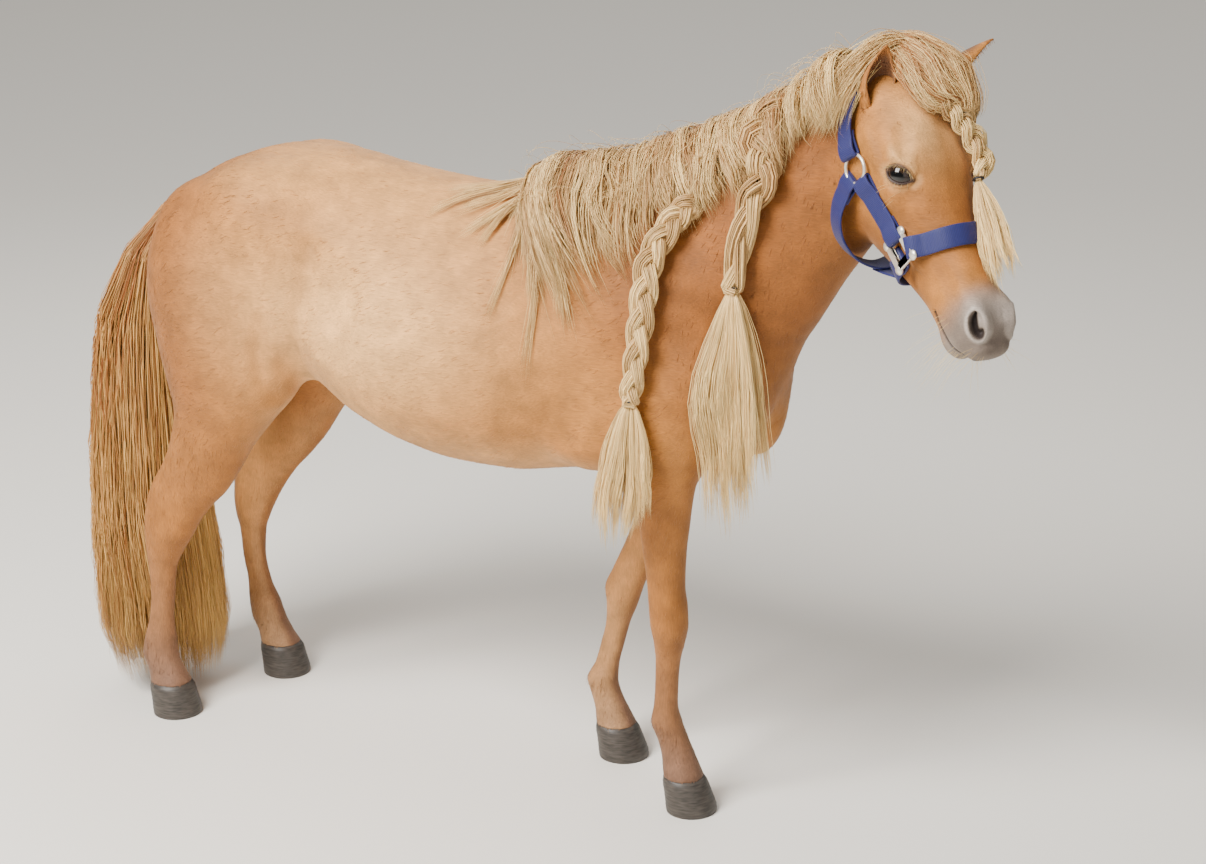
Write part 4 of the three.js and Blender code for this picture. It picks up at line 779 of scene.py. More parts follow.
def coat_colours(p, normals, colours):
    """Colour of the coat at many places: the main one, with others laid over it in turn. Among them are a
    painted highlight on barrel and back, and painted shade under the mane, on the legs, the lower face and
    the jaw, in the nostrils and along the mouth line.
    """
    x, y, z = p.T
    s, u, v = head_places(p).T
    side = np.abs(v)
    up = normals[:, 2]
    past = head_share(p)
    on_head = ease(-30, 30, past)
    off_head = 1 - on_head
    inner = ease(0.2, 0.8, -normals[:, 1] * np.sign(y)) * ease(520, 420, z)
    muzzle = ease(296, 342, s + 0.25 * (u + 40)) * on_head
    washes = [
        ("pale", 0.8 * bell(x, -20, 210) * bell(z, 690, 130) * off_head),  # painted highlight on the barrel
        ("pale", 0.35 * bell(x, -300, 90) * bell(z, 720, 120)),  # thigh
        ("pale", 0.3 * ease(0.35, 0.95, up) * off_head * ease(700, 860, z)),  # painted highlight on the back, where it faces up
        ("deep", 0.5 * ease(380, 480, x) * off_head * ease(560, 640, z)),  # breast
        ("pale", 0.5 * ease(-0.35, -0.9, up) * ease(420, 470, z) * off_head),  # belly
        ("deep", 0.75 * ease(250, 400, x) * ease(620, 760, z) * off_head),  # painted shadow under the mane
        ("deep", 0.4 * ease(560, 440, z)),  # painted shade on the legs
        ("deep", 0.8 * ease(-170, -350, x) * ease(430, 560, z)),  # rump
        ("fetlock", 0.45 * ease(330, 150, z)),
        ("fetlock", 0.85 * ease(170, 60, z)),
        ("pale", 0.25 * inner),
        # Forehead, brow and nose bone, then painted shade on the lower face and the jaw
        ("pale", 0.75 * bell(s, 78, 52) * bell(side, 22, 30) * ease(-30, 10, u) * on_head),
        ("pale", 0.6 * bell(s, 112, 22) * bell(u, -3, 13) * ease(30, 50, side) * on_head),
        # painted shade on the lower side of the face, by the cheek bone
        ("deep", 0.45 * bell(s, 195, 62) * ease(-90, -30, u) * on_head),
        ("deep", 0.3 * ease(140, 200, s) * ease(300, 250, s) * on_head),
        # painted shade along the underside of the head and the jaw
        ("deep", 0.7 * ease(-60, -125, u) * ease(330, 260, s) * on_head),
        # Muzzle
        ("muzzle_rim", 0.8 * ease(286, 322, s + 0.2 * (u + 40)) * on_head),
        ("muzzle", 0.92 * muzzle),
        ("muzzle_pale", 0.5 * muzzle * ease(-40, -8, u) * ease(372, 340, s)),
        ("muzzle_pale", 0.35 * muzzle * ease(-52, -78, u)),
    ]
    for spot in NOSTRILS:
        edge, fold = from_nostril(p, spot)
        washes.append(("muzzle_pale", 0.85 * ease(9, 4, edge) * ease(0, 2.5, edge) * (1 - 0.5 * fold)))
        # painted shade inside the nostril
        washes.append(("hollow", 0.96 * ease(1.0, -1.5, edge) * (1 - 0.8 * fold)))
    mouth = np.where((s > 298) & (past > 40), np.abs(u - MOUTH_LINE(s)), 99)
    # painted shade along the mouth line
    washes.append(("hollow", 0.95 * ease(4.8, 2.4, mouth)))
    for eye in EYES.values():
        a, b, c = eye.local(p).T
        near = (np.abs(a) < 40) & (np.abs(b) < 40) & (c > -4)
        d = np.full(len(p), 99.0)
        d[near] = from_eye_opening(a[near], b[near])
        washes.append(("pale", 0.35 * ease(15, 6, d)))
        washes.append(("lid", 0.9 * ease(4.6, 1.6, d)))
        washes.append(("lid", 0.5 * bell(a, 19, 5) * bell(b, -1, 4) * near))
    for name, height in CHESTNUT_HEIGHTS.items():
        front, back, out = [track(-height) for track in leg_tracks(name)]
        spot = np.array([(front + back) / 2 - 6, hand_of(name) * (out - 30), height])
        size = np.linalg.norm((p - spot) / [11, 16, 17], axis=1)
        washes.append(("chestnut", ease(1.1, 0.8, size)))
    tone = np.tile(colours["body"], (len(p), 1))
    for name, share in washes:
        tone = tone + (colours[name] - tone) * np.clip(share, 0, 1)[:, None]
    return tone * (1 + 0.10 * mottled(p))[:, None]


def with_ear_tone(tone, first_ear, colours, p):
    """Darkens the inside of the ears, which start at a given vertex of the skin."""
    for side in SIDES:
        root, length, lean, opening = ear_axes(side)
        d = p - root
        along = d @ lean / length
        off = np.linalg.norm(d - np.outer(d @ lean, lean), axis=1)
        near = (np.arange(len(p)) >= first_ear) & (np.linalg.norm(d, axis=1) < 108)
        inset = off / np.maximum(EAR_WIDTH(along) * 0.5, 2)
        inside = near & (inset < 0.93) & (d @ opening > -0.42 * EAR_WIDTH(along))
        share = np.where(inside, ease(0.98, 0.80, inset) * ease(1.0, 0.7, along), 0)
        tone = tone + (colours["ear_inside"] - tone) * (0.85 * share)[:, None]
        edge = near & (along > 0.86)
        tone[edge] += (colours["deep"] - tone[edge]) * 0.6
    return tone


def put_colours(mesh, tone):
    layer = mesh.color_attributes.new(name="tone", type="FLOAT_COLOR", domain="POINT")
    rgba = np.ones((len(mesh.vertices), 4), np.float32)
    rgba[:, :3] = tone
    layer.data.foreach_set("color", rgba.ravel())


# Materials
def fill(node, joins=(), **values):
    """Sets sockets of a node, or its settings where they are named in small letters, and joins outputs to
    others."""
    for label, value in values.items():
        if label.islower():
            setattr(node, label, value)
        else:
            node.inputs[label.replace("_", " ")].default_value = value
    for socket, output in dict(joins).items():
        node.id_data.links.new(output, node.inputs[socket])


def add_node(shader, kind, out, joins=(), **values):
    """Adds a node beside a shader and gives the output of that name."""
    node = shader.id_data.nodes.new("ShaderNode" + kind)
    fill(node, joins, **values)
    return node.outputs[out]


def new_material(name, roughness, **values):
    """A material and its shader, with the shader's own values set."""
    material = bpy.data.materials.new(name)
    material.use_nodes = True
    shader = material.node_tree.nodes["Principled BSDF"]
    fill(shader, Roughness=roughness, **values)
    return material, shader


def plain_material(name, colour, roughness, metallic=0):
    return new_material(name, roughness, Base_Color=(*colour, 1), Metallic=metallic)[0]


def toned_material(name, roughness, **values):
    """A material whose colour is in the mesh's own tones."""
    material, shader = new_material(name, roughness, Specular_IOR_Level=0.3, **values)
    fill(shader, {"Base Color": add_node(shader, "Attribute", "Color", attribute_name="tone")})
    return material


def shaded_ramp(shader, pattern, colour, shares, stops=(0, 1)):
    """Colours a pattern from a darker to a paler share of one colour."""
    ramp = add_node(shader, "ValToRGB", "Color", {"Fac": pattern})
    for element, share, stop in zip(ramp.node.color_ramp.elements, shares, stops):
        element.position = stop
        element.color = (*[min(1, share * c) for c in colour], 1)
    return ramp


def coat_material():
    """Short hair: the vertex tones with fine streaks along the lie and soft mottling."""
    material, shader = new_material(
        "short_coat", 0.62, Specular_IOR_Level=0.28, Sheen_Weight=0.12, Sheen_Roughness=0.4,
        Sheen_Tint=(1.0, 0.86, 0.68, 1),
    )
    tone = add_node(shader, "Attribute", "Color", attribute_name="tone")
    place = add_node(shader, "TexCoord", "Object")
    mottle = add_node(shader, "TexNoise", "Fac", {"Vector": place}, Scale=26, Detail=6, Roughness=0.62)
    streaks = []
    for turn, scale in (((0, math.radians(14), 0), (70, 700, 700)), ((0, 0, 0), (700, 700, 80))):
        turned = add_node(shader, "Mapping", "Vector", {"Vector": place}, Rotation=turn, Scale=scale)
        streaks.append(add_node(shader, "TexNoise", "Fac", {"Vector": turned}, Scale=1, Detail=3))
    height = add_node(shader, "SeparateXYZ", "Z", {"Vector": place})
    on_legs = add_node(shader, "MapRange", "Result", {"Value": height}, From_Min=0.52, From_Max=0.40)
    hair = add_node(shader, "Mix", 0, {"Factor": on_legs, 2: streaks[0], 3: streaks[1]})
    shades = {}
    for n, (pattern, least, most) in enumerate(((mottle, 0.78, 1.17), (hair, 0.82, 1.14))):
        shades[n] = add_node(
            shader, "MapRange", "Result", {"Value": pattern}, From_Min=0.3, From_Max=0.7, To_Min=least,
            To_Max=most,
        )
    both = add_node(shader, "Math", "Value", shades, operation="MULTIPLY")
    colour = add_node(shader, "VectorMath", "Vector", {0: tone, "Scale": both}, operation="SCALE")
    soft = add_node(shader, "Bump", "Normal", {"Height": mottle}, Strength=0.3, Distance=0.006)
    bump = add_node(
        shader, "Bump", "Normal", {"Height": hair, "Normal": soft}, Strength=0.5, Distance=0.0012
    )
    fill(shader, {"Base Color": colour, "Normal": bump})
    return material


# Locks of hair: tapered, three sided, closed at both ends
def through(points, count):
    """Smooth curves through rows of places, each read at a number of even steps."""
    points = np.asarray(points, float)
    steps = points.shape[1] - 1
    before, after = 2 * points[:, :1] - points[:, 1:2], 2 * points[:, -1:] - points[:, -2:-1]
    padded = np.concatenate([before, points, after], 1)
    at = np.linspace(0, steps, count)
    i = np.minimum(at.astype(int), steps - 1)
    t = (at - i)[None, :, None]
    a, b, c, d = padded[:, i], padded[:, i + 1], padded[:, i + 2], padded[:, i + 3]
    return 0.5 * (2 * b + (c - a) * t + (2 * a - 5 * b + 4 * c - d) * t**2 + (3 * b - 3 * c + d - a) * t**3)


def skin_unwrap(p):
    """Places on a flat map of the skin: trunk and neck, head, each leg and the tail have their own strip."""
    x, y, z = p.T
    s, u, v = head_places(p).T

    def round_turn(a, b):
        return np.arctan2(a, b) / (2 * math.pi) + 0.5

    def along(a, low, reach):
        return np.clip((a - low) / reach, 0, 1)

    trunk_v = 0.01 + 0.58 * round_turn(y, z - 700 - np.maximum(x - 250, 0) * 0.5)
    uv = np.stack([0.01 + 0.58 * along(x, -530, 1260), trunk_v], 1)
    on_head = head_share(p) > 0
    head_uv = np.stack([0.62 + 0.36 * along(s, -60, 460), 0.01 + 0.38 * round_turn(v, u + 70)], 1)
    uv[on_head] = head_uv[on_head]
    for n, name in enumerate(LEG_ROWS):
        front, back, out = [track(-z) for track in leg_tracks(name)]
        hand = hand_of(name)
        here = (z < 500) & (y * hand > 0) & (x > back - 60) & ~on_head
        here &= (x > 0) == name.startswith("front")
        leg_v = 0.62 + 0.09 * n + 0.08 * round_turn(y - hand * out, x - (front + back) / 2)
        uv[here] = np.stack([0.01 + 0.58 * along(z, 0, 520), leg_v], 1)[here]
    tail = (x < -425) & (z < 830)
    tail_uv = np.stack([0.62 + 0.36 * along(z, 0, 830), 0.42 + 0.38 * round_turn(y, -(x + 490))], 1)
    uv[tail] = tail_uv[tail]
    return uv


TUFT_PATCH = 0.003
TAPER = ([0, 0.15, 0.7, 1], [0.75, 1, 0.8, 0.12])


def make_locks(name, spines, widths, tones, facing, flat=0.55, taper=TAPER, material="hair"):
    """One mesh of many locks.

    spines: (locks, steps, 3) places, widths: (locks,) full width, tones: (locks, steps, 3) colours, facing:
    the way the flat sides look, one for all locks, for each lock or for each step of it, taper: shares of
    the width at shares of the length."""
    count, steps, _ = spines.shape
    along = unit(np.gradient(spines, axis=1))
    facing = np.asarray(facing, float)
    if facing.ndim == 2:
        facing = facing[:, None]
    face = unit(facing - (facing * along).sum(2, keepdims=True) * along)
    across = np.cross(along, face)
    t = np.linspace(0, 1, steps)
    half = widths[:, None] * 0.5 * np.interp(t, *taper)[None]
    rings = []
    for turn in (math.pi / 2, math.pi * 7 / 6, math.pi * 11 / 6):
        offset = math.cos(turn) * across + flat * math.sin(turn) * face
        rings.append(spines + offset * half[..., None])
    body = np.stack(rings, 2)[:, :-1]
    per = 3 * (steps - 1) + 1
    co = np.concatenate([body.reshape(count, -1, 3), spines[:, -1:]], 1).reshape(-1, 3)
    base = np.arange(count)[:, None, None] * per
    ring = np.arange(steps - 2)[:, None] * 3
    sides = [(i, (i + 1) % 3) for i in range(3)]
    quads = [np.stack([ring + i, ring + j, ring + 3 + j, ring + 3 + i], -1).reshape(-1, 4) for i, j in sides]
    quads = (base + np.concatenate(quads)).reshape(-1, 4)
    last = 3 * (steps - 2)
    ends = np.array([[last + i, last + j, per - 1] for i, j in sides] + [[2, 1, 0]])
    ends = (base + ends).reshape(-1, 3)
    mesh = bpy.data.meshes.new(name)
    mesh.vertices.add(len(co))
    mesh.vertices.foreach_set("co", to_frame(co).astype(np.float32).ravel())
    corners = np.concatenate([quads.ravel(), ends.ravel()]).astype(np.int32)
    mesh.loops.add(len(corners))
    mesh.loops.foreach_set("vertex_index", corners)
    starts = np.concatenate([np.arange(len(quads)) * 4, len(quads) * 4 + np.arange(len(ends)) * 3])
    mesh.polygons.add(len(starts))
    mesh.polygons.foreach_set("loop_start", starts.astype(np.int32))
    mesh.update(calc_edges=True)
    mesh.polygons.foreach_set("use_smooth", [True] * len(starts))
    tone = np.concatenate([np.repeat(tones[:, :-1, None], 3, 2).reshape(count, -1, 3), tones[:, -1:]], 1)
    put_colours(mesh, tone.reshape(-1, 3))
    root = skin_unwrap(spines[:, 0])
    spot = np.stack([np.tile([0.0, 0.5, 1.0], steps - 1), np.repeat(t[:-1], 3)], 1)
    spot = np.concatenate([spot, [[0.5, 1.0]]])
    uv = (root[:, None] + TUFT_PATCH * (spot[None] - 0.5)).reshape(-1, 2)
    layer = mesh.uv_layers.new(name="OFBake")
    layer.data.foreach_set("uv", uv[corners].astype(np.float32).ravel())
    mesh.materials.append(BODY[material])
    return new_object(name, mesh)


# Places on the neck and back: station along the crest, degrees from straight up towards the right
CREST_ROWS = [
    # station, x, height of the axis, degrees of the lower edge, lift at the top, lean
    [-2, 60, 770, 30, 2, 0], [-1, 145, 785, 60, 4, 0], [0, 218, 800, 84, 12, 0], [1, 262, 806, 98, 20, 0],
    [2, 318, 818, 92, 22, -1], [3, 380, 840, 86, 18, -4], [4, 440, 870, 80, 17, -7],
    [5, 505, 905, 82, 17, -10], [6, 565, 945, 84, 22, -15], [7, 620, 985, 76, 30, -20],
    [8, 668, 1022, 60, 36, -26], [9, 704, 1050, 56, 34, -32],
]
crest_x, crest_z, crest_edge, crest_lift, crest_lean = [Track(CREST_ROWS, column) for column in range(1, 6)]
BODY = {}


def surface(origins, directions, lift):
    """Where rays from inside the body leave its skin, and a lift further on."""
    tree = BODY["tree"]
    origins, directions = np.atleast_2d(origins), unit(np.atleast_2d(directions))
    lifts = np.broadcast_to(lift, len(origins))
    starts = to_frame(origins)
    out = np.empty_like(origins)
    for n in range(len(origins)):
        hit = tree.ray_cast(Vector(starts[n]), Vector(directions[n]))[0]
        place = from_frame(np.array(hit)) if hit is not None else origins[n] + directions[n] * 60
        out[n] = place + directions[n] * lifts[n]
    return out


def on_neck(station, degrees, lift):
    """Places over the neck and back, a lift above the skin."""
    station, degrees, lift = np.broadcast_arrays(station, degrees, lift)
    shape = station.shape
    station, turn, lift = station.ravel(), np.radians(degrees.ravel()), lift.ravel()
    centre = np.stack([crest_x(station), crest_lean(station), crest_z(station)], 1)
    slope = np.minimum(0.75 - 0.03 * station, 0.3 + 0.3 * np.maximum(station, -1))
    out = np.stack([-np.sin(slope) * np.cos(turn), -np.sin(turn), np.cos(slope) * np.cos(turn)], 1)
    return surface(centre, out, lift + 3).reshape(*shape, 3)


def right_side(x, z, lift):
    return surface([[x, -8, z]], [[0, -1, 0]], lift + 3)[0]


def kept_clear(points, gap):
    """Pushes places out of the flesh until they are a gap away from it."""
    p = points.reshape(-1, 3).copy()
    for _ in range(3):
        f = flesh(p)
        low = f < gap
        if not low.any():
            break
        q = p[low]
        slope = slope_of(flesh, q)
        p[low] = q + slope * ((gap - f[low]) / np.maximum((slope**2).sum(1), 0.3))[:, None]
    return p.reshape(points.shape)


def palette(group):
    """The colours among the settings of a group, by name."""
    settings = getattr(bpy.context.scene, group)
    values = {name: getattr(settings, name) for name in type(settings).__annotations__}
    return {name: np.array(tuple(value)) for name, value in values.items() if isinstance(value, Color)}


def hair_tones(dice, spines, light, roots=0.5, spread=0.12):
    """Colours of locks: darker at the root and paler to the tip, each lock a little different."""
    count, steps, _ = spines.shape
    t = np.linspace(0, 1, steps)[None]
    dark, pale = palette("pony_hair")["hair_deep"], palette("pony_hair")["hair_pale"]
    share = np.clip(light + (t - 0.35) * roots + dice.normal(0, spread, (count, 1)), 0, 1)
    tone = dark + (pale - dark) * share[..., None]
    return tone * (1 + dice.normal(0, 0.07, (count, 1, 1)))


def make_hair(dice, name, spines, light, widths, facing, roots=0.5, spread=0.12, **form):
    """Locks in the tones of mane and tail, with widths between two bounds."""
    tones = hair_tones(dice, spines, light, roots, spread)
    return make_locks(name, spines, dice.uniform(*widths, len(spines)), tones, facing, **form)


# Tail
TAIL_END = 9
TAIL_ROWS = [
    # height, x, half across, half along
    [TAIL_END, -480, 76, 76], [60, -484, 100, 94], [150, -492, 110, 96], [300, -504, 104, 84],
    [450, -508, 96, 76], [600, -506, 84, 68], [690, -498, 68, 54], [745, -482, 50, 40],
    [792, -456, 32, 25], [820, -424, 24, 18],
]
tail_x, tail_across, tail_along = [Track(TAIL_ROWS, column) for column in (1, 2, 3)]


def in_tail(height, turn, share):
    x = tail_x(height) - share * tail_along(height) * np.cos(turn)
    return np.stack([x, share * tail_across(height) * np.sin(turn) - 8, height], -1)


class Clumps:
    """Locks gathered in clumps: each number that it draws is shared by all the locks of a clump."""

    def __init__(self, dice, clumps, count):
        self.dice, self.clumps = dice, clumps
        self.of = dice.integers(0, clumps, count)

    def even(self, low, high):
        return self.dice.uniform(low, high, self.clumps)[self.of][:, None]

    def stray(self, size):
        return self.dice.normal(0, size, self.clumps)[self.of][:, None]


def make_tail(dice, count, name, inner):
    """Locks that hang in clumps round the tail's outside, or fill its inside."""
    clump = Clumps(dice, 150, count)
    mid_turn = clump.even(-math.pi, math.pi)
    mid_share = np.sqrt(clump.even(0.15, 0.7)) if inner else clump.even(0.86, 1.0)
    end = TAIL_END + 6 + 120 * clump.even(0, 1) ** 2.2
    wave, waves = clump.even(0, 6.28), clump.even(1.5, 4)
    bend = clump.stray(0.16)
    steps = 9
    t = np.linspace(0, 1, steps)[None]
    root = dice.uniform(600, 815, (count, 1)) if inner else dice.uniform(640, 822, (count, 1))
    tip = end + dice.exponential(14, (count, 1))
    spread = dice.normal(0, 1, (count, 2))
    close = 1 - 0.55 * t
    turn = mid_turn + 0.30 * spread[:, :1] * close + bend * t
    share = mid_share + 0.06 * spread[:, 1:] * close
    share = np.clip(share, 0.05, 1.02) * (0.30 + 0.70 * ease(0, 0.22, t))
    share = share * (1 + 0.05 * np.sin(wave + waves * 6 * t))
    spines = in_tail(root + (tip - root) * t, turn, share)
    sway = 4 * t * np.sin(wave + 9 * t * waves * 0.5)
    spines[..., 1] += sway
    spines[..., 0] += 0.6 * sway + dice.normal(0, 1.6, (count, steps)) * t
    spines[:, 1:] = kept_clear(spines[:, 1:], 3)
    spines[..., 2] = np.maximum(spines[..., 2], TAIL_END - 3)
    back, side = -np.cos(mid_turn), np.sin(mid_turn)
    light = 0.40 + 0.14 * back + clump.stray(0.17) - 0.2 * inner
    tones = hair_tones(dice, spines, light, 0.35, 0.14)
    # Darker near the dock, yellower lower down
    top = ease(660, 815, spines[..., 2])[..., None]
    tones = tones + (palette("pony_hair")["hair_deep"] * 1.25 - tones) * 0.55 * top
    tones = tones * (1 - (1 - np.array([0.82, 0.68, 0.46])) * (1 - top))
    facing = unit(np.concatenate([back, side, 0 * side], 1))
    widths = dice.uniform(1.5, 2.6, count) * (1.25 if inner else 1)
    return make_locks(name, spines, widths, tones, facing)


# Mane
def make_mane(dice, count):
    """Locks that rise from the crest and fall in clumps down the right side of the neck."""
    clump = Clumps(dice, 230, count)
    station, back = clump.even(0.2, 9.0), clump.even(0.1, 0.75)
    edge, high = clump.even(0.5, 1.2), clump.even(0.25, 1.35)
    wave, waves = clump.even(0, 6.28), clump.even(0.6, 1.5)
    steps = 9
    t = np.linspace(0, 1, steps)[None]
    spread = dice.normal(0, 1, (count, 3))
    at = station + 0.11 * spread[:, :1] * (1 - 0.4 * t) - back * t
    at = at + 0.12 * np.sin(wave + 6.28 * waves * t) * t
    at = np.clip(at + 0.05 * dice.normal(0, 1, (count, 1)) * t * t, -0.4, 9)
    edges = crest_edge(np.clip(at, 0, 9)) * edge * (1 + 0.05 * spread[:, 1:2])
    start = -10 - 8 * np.abs(spread[:, 2:3])
    degrees = start + (edges - start) * t
    rise = crest_lift(at) * high * np.sin(math.pi * np.clip(0.12 + 0.78 * t, 0, 1)) ** 0.7
    rise = rise + 1.5 * spread[:, 1:2] * t + dice.normal(0, 0.8, (count, steps)) * t
    spines = on_neck(at, degrees, np.where(t == 0, -3, np.maximum(rise, 1.5)))
    light = 0.44 + clump.stray(0.17) + 0.22 * ease(6.6, 8.2, station)
    centre = np.stack([crest_x(at), crest_lean(at), crest_z(at)], -1)
    return make_hair(dice, "mane_locks", spines, light, (1.0, 2.0), unit(spines - centre), 0.34, 0.14)


LOOSE_LINES = [
    # station and degrees along each lock, then how wide it spreads and how many hairs it has
    ([(1.9, 12), (1.1, 16), (0.4, 22), (-0.6, 32), (-1.5, 48)], 9, 55),
    ([(1.7, 18), (1.0, 26), (0.2, 36), (-0.6, 50), (-1.2, 66)], 9, 55),
    ([(1.5, 6), (0.8, 9), (0, 14), (-1, 20), (-1.9, 30)], 8, 45),
    ([(2.1, 26), (1.5, 44), (1.0, 66), (0.6, 86), (0.3, 104)], 10, 70),
    ([(2.4, 30), (1.9, 52), (1.5, 78), (1.2, 100), (0.9, 118)], 10, 70),
    ([(1.3, 10), (0.6, 22), (0, 38), (-0.5, 56), (-0.8, 74)], 8, 50),
    ([(2.0, 20), (1.3, 34), (0.6, 54), (0.0, 80), (-0.5, 108)], 5, 26),
    ([(2.2, 24), (1.7, 44), (1.0, 76), (0.4, 104), (-0.1, 128)], 5, 26),
    ([(1.0, 8), (0.2, 14), (-0.7, 22), (-1.5, 34), (-2.2, 52)], 5, 22),
]


def make_loose_mane(dice):
    """Locks that lie out of the mane over the back and shoulder."""
    spines = []
    for line, spread, count in LOOSE_LINES:
        line = np.array(line, float)
        fan = np.linspace(0.4, 1, len(line))[None]
        offset = dice.normal(0, 1, (count, 2))
        at = line[None, :, 0] + offset[:, :1] * spread * 0.008 * fan
        degrees = line[None, :, 1] + offset[:, 1:] * spread * 0.30 * fan
        degrees = degrees + dice.normal(0, 1.5, degrees.shape) * fan
        lift = np.abs(dice.normal(4.5, 2.5, (count, 1))) + np.array([-4, 2, 3, 2, 0])[None]
        spines.append(through(on_neck(at, degrees, lift), 11))
    spines = np.concatenate(spines)
    spines[:, 1:] = kept_clear(spines[:, 1:], 0.6)
    light = dice.normal(0.55, 0.15, (len(spines), 1))
    return make_hair(dice, "mane_loose", spines, light, (0.9, 1.6), (-0.2, -0.6, 0.8))


POLL_LINES = [
    (738, -22, 1122, 716, -34, 1136, 692, -50, 1128, 668, -66, 1100, 650, -78, 1062, 640, -84, 1020),
    (728, -6, 1120, 704, -22, 1134, 682, -40, 1124, 660, -58, 1094, 640, -72, 1052, 622, -80, 1008),
    (744, -30, 1116, 720, -42, 1130, 700, -56, 1122, 680, -74, 1098, 664, -86, 1066, 652, -92, 1030),
]


def make_poll_locks(dice, count):
    """Locks that fall from the poll back over the crownpiece and into the mane."""
    spines = []
    for line in np.reshape(POLL_LINES, (3, 6, 3)):
        fan = np.linspace(0.5, 1.3, 6)[None, :, None]
        stray = dice.normal(0, 1, (count, 1, 3)) * [9, 7, 6] * fan
        spines.append(through(line + stray + dice.normal(0, 1.6, (count, 6, 3)), 11))
    spines = kept_clear(np.concatenate(spines), 12.5)
    light = dice.normal(0.55, 0.2, (len(spines), 1))
    return make_hair(dice, "mane_poll", spines, light, (0.9, 1.7), (-0.3, -0.5, 0.8), 0.3)


def make_frizz(dice, count):
    """Thin single hairs that stand off the crest and the poll."""
    t = np.linspace(0, 1, 9)[None]

    def one_each(low, high):
        return dice.uniform(low, high, (count, 1))

    station = one_each(0.4, 9.0)
    at = np.clip(station - one_each(-0.3, 1.1) * t, -0.5, 9)
    at = at + 0.05 * np.sin(one_each(0, 6.28) + 5 * t) * t
    degrees = one_each(-18, 50) + one_each(-15, 60) * t
    peak = crest_lift(at) * one_each(0.8, 1.5) + dice.exponential(9, (count, 1)) * t
    lift = np.where(t == 0, 0, peak * np.sin(math.pi * np.clip(0.1 + 0.75 * t, 0, 1)) ** 0.6)
    spines = on_neck(at, degrees, lift)
    light = dice.normal(0.6, 0.2, (count, 1))
    return make_hair(dice, "mane_frizz", spines, light, (0.45, 0.8), (-0.2, -0.7, 0.7), 0.4, flat=0.8)


# Plaits of three strands
def plait_places(dice, points, width, lobes, facing, hairs, steps):
    """Hairs of a plait along a line: each strand swings from edge to edge and passes over and under."""
    centre = through([points], steps)[0]
    t = np.linspace(0, 1, steps)
    along = unit(np.gradient(centre, axis=0))
    face = unit(facing - (along @ facing)[:, None] * along)
    across = np.cross(along, face)
    wide = width(t)[:, None]
    spines, facings = [], []
    for strand in range(3):
        turn = (2 * math.pi * (lobes * t / 3 + strand / 3))[:, None]
        path = centre + across * wide * 0.27 * np.sin(turn) + face * wide * 0.17 * np.sin(2 * turn)
        strand_along = unit(np.gradient(path, axis=0))
        strand_face = unit(face - (face * strand_along).sum(1, keepdims=True) * strand_along)
        strand_across = np.cross(strand_along, strand_face)
        around = dice.uniform(0, 2 * math.pi, (hairs, 1, 1))
        out = np.sqrt(dice.uniform(0.35, 1, (hairs, 1, 1)))
        fat = wide * (0.235 + 0.02 * np.cos(2 * turn))
        twist = around + 1.2 * t[None, :, None]
        offset = np.cos(twist) * strand_across * fat * 1.02 + np.sin(twist) * strand_face * fat * 0.80
        wander = dice.normal(0, 0.012, (hairs, steps, 1)) * wide
        spines.append(path + out * offset + wander * strand_face)
        facings.append(unit(offset))
    return np.concatenate(spines), np.concatenate(facings)


def beside_shoulder(points, layer):
    """Moves hair that hangs at the pony's right out onto the shoulder, one layer over another."""
    p = points.reshape(-1, 3).copy()
    start = np.stack([p[:, 0], np.full(len(p), -8.0), p[:, 2]], 1)
    side = surface(start, np.tile([0.0, -1.0, 0.0], (len(p), 1)), 0)[:, 1]
    p[:, 1] = np.minimum(p[:, 1], side - 2 - layer.ravel())
    return p.reshape(points.shape)


def make_tassel(dice, name, top, bottom, size, count, light, widths, facing, clumps=22, on_shoulder=True):
    """Hairs that fan out below a tie and gather into pointed locks, shorter at their front."""
    spread, depth = size
    clump = Clumps(dice, clumps, count)
    side, front = clump.even(-1, 1), clump.even(-1, 1)
    long = clump.even(0.72, 1.0) * (1 - 0.16 * np.maximum(side, 0))
    stray = dice.normal(0, 1, (count, 2)) * 0.13
    t = np.linspace(0, 1, 9)[None]
    loose = 1 - 0.35 * t
    a = side + stray[:, :1] * loose
    b = front + stray[:, 1:] * loose
    length = long * dice.uniform(0.8, 1.04, (count, 1)) * t
    fan = 0.05 + 0.95 * np.sin(0.62 * math.pi * np.clip(length, 0, 1) ** 0.75)
    wave = clump.even(0, 6.28)
    crinkle = dice.normal(0, 0.9, (count, 9)) * t
    spines = top + length[..., None] * (bottom - top)
    spines[..., 0] += a * spread * 0.5 * fan + 3 * t * np.sin(wave + 9 * t) + crinkle
    spines[..., 1] += b * depth * 0.5 * fan + 1.4 * t * np.cos(wave + 6 * t)
    if on_shoulder:
        layer = depth * 0.25 * (1 - b) * np.minimum(1, 3 * t)
        spines[:, 1:] = beside_shoulder(spines[:, 1:], layer[:, 1:])
    else:
        spines[:, 1:] = kept_clear(spines[:, 1:], 1.0)
    light = dice.normal(*light, (count, 1))
    taper = ([0, 0.2, 0.8, 1], [0.6, 1, 0.7, 0.12])
    return make_hair(dice, name, spines, light, widths, facing, 0.3, 0.06, taper=taper)


def make_plait(dice, name, points, width, lobes, facing, hairs, light):
    spines, faces = plait_places(dice, points, width, lobes, facing, hairs, int(lobes * 5) + 1)
    spines = kept_clear(spines, 0.5)
    light = light + np.repeat(dice.normal(0, 0.1, 3), hairs)[:, None]
    taper = ([0, 0.04, 0.96, 1], [0.4, 1, 0.9, 0.5])
    return make_hair(dice, name, spines, light, (1.5, 2.4), faces, 0.25, 0.13, flat=0.7, taper=taper)


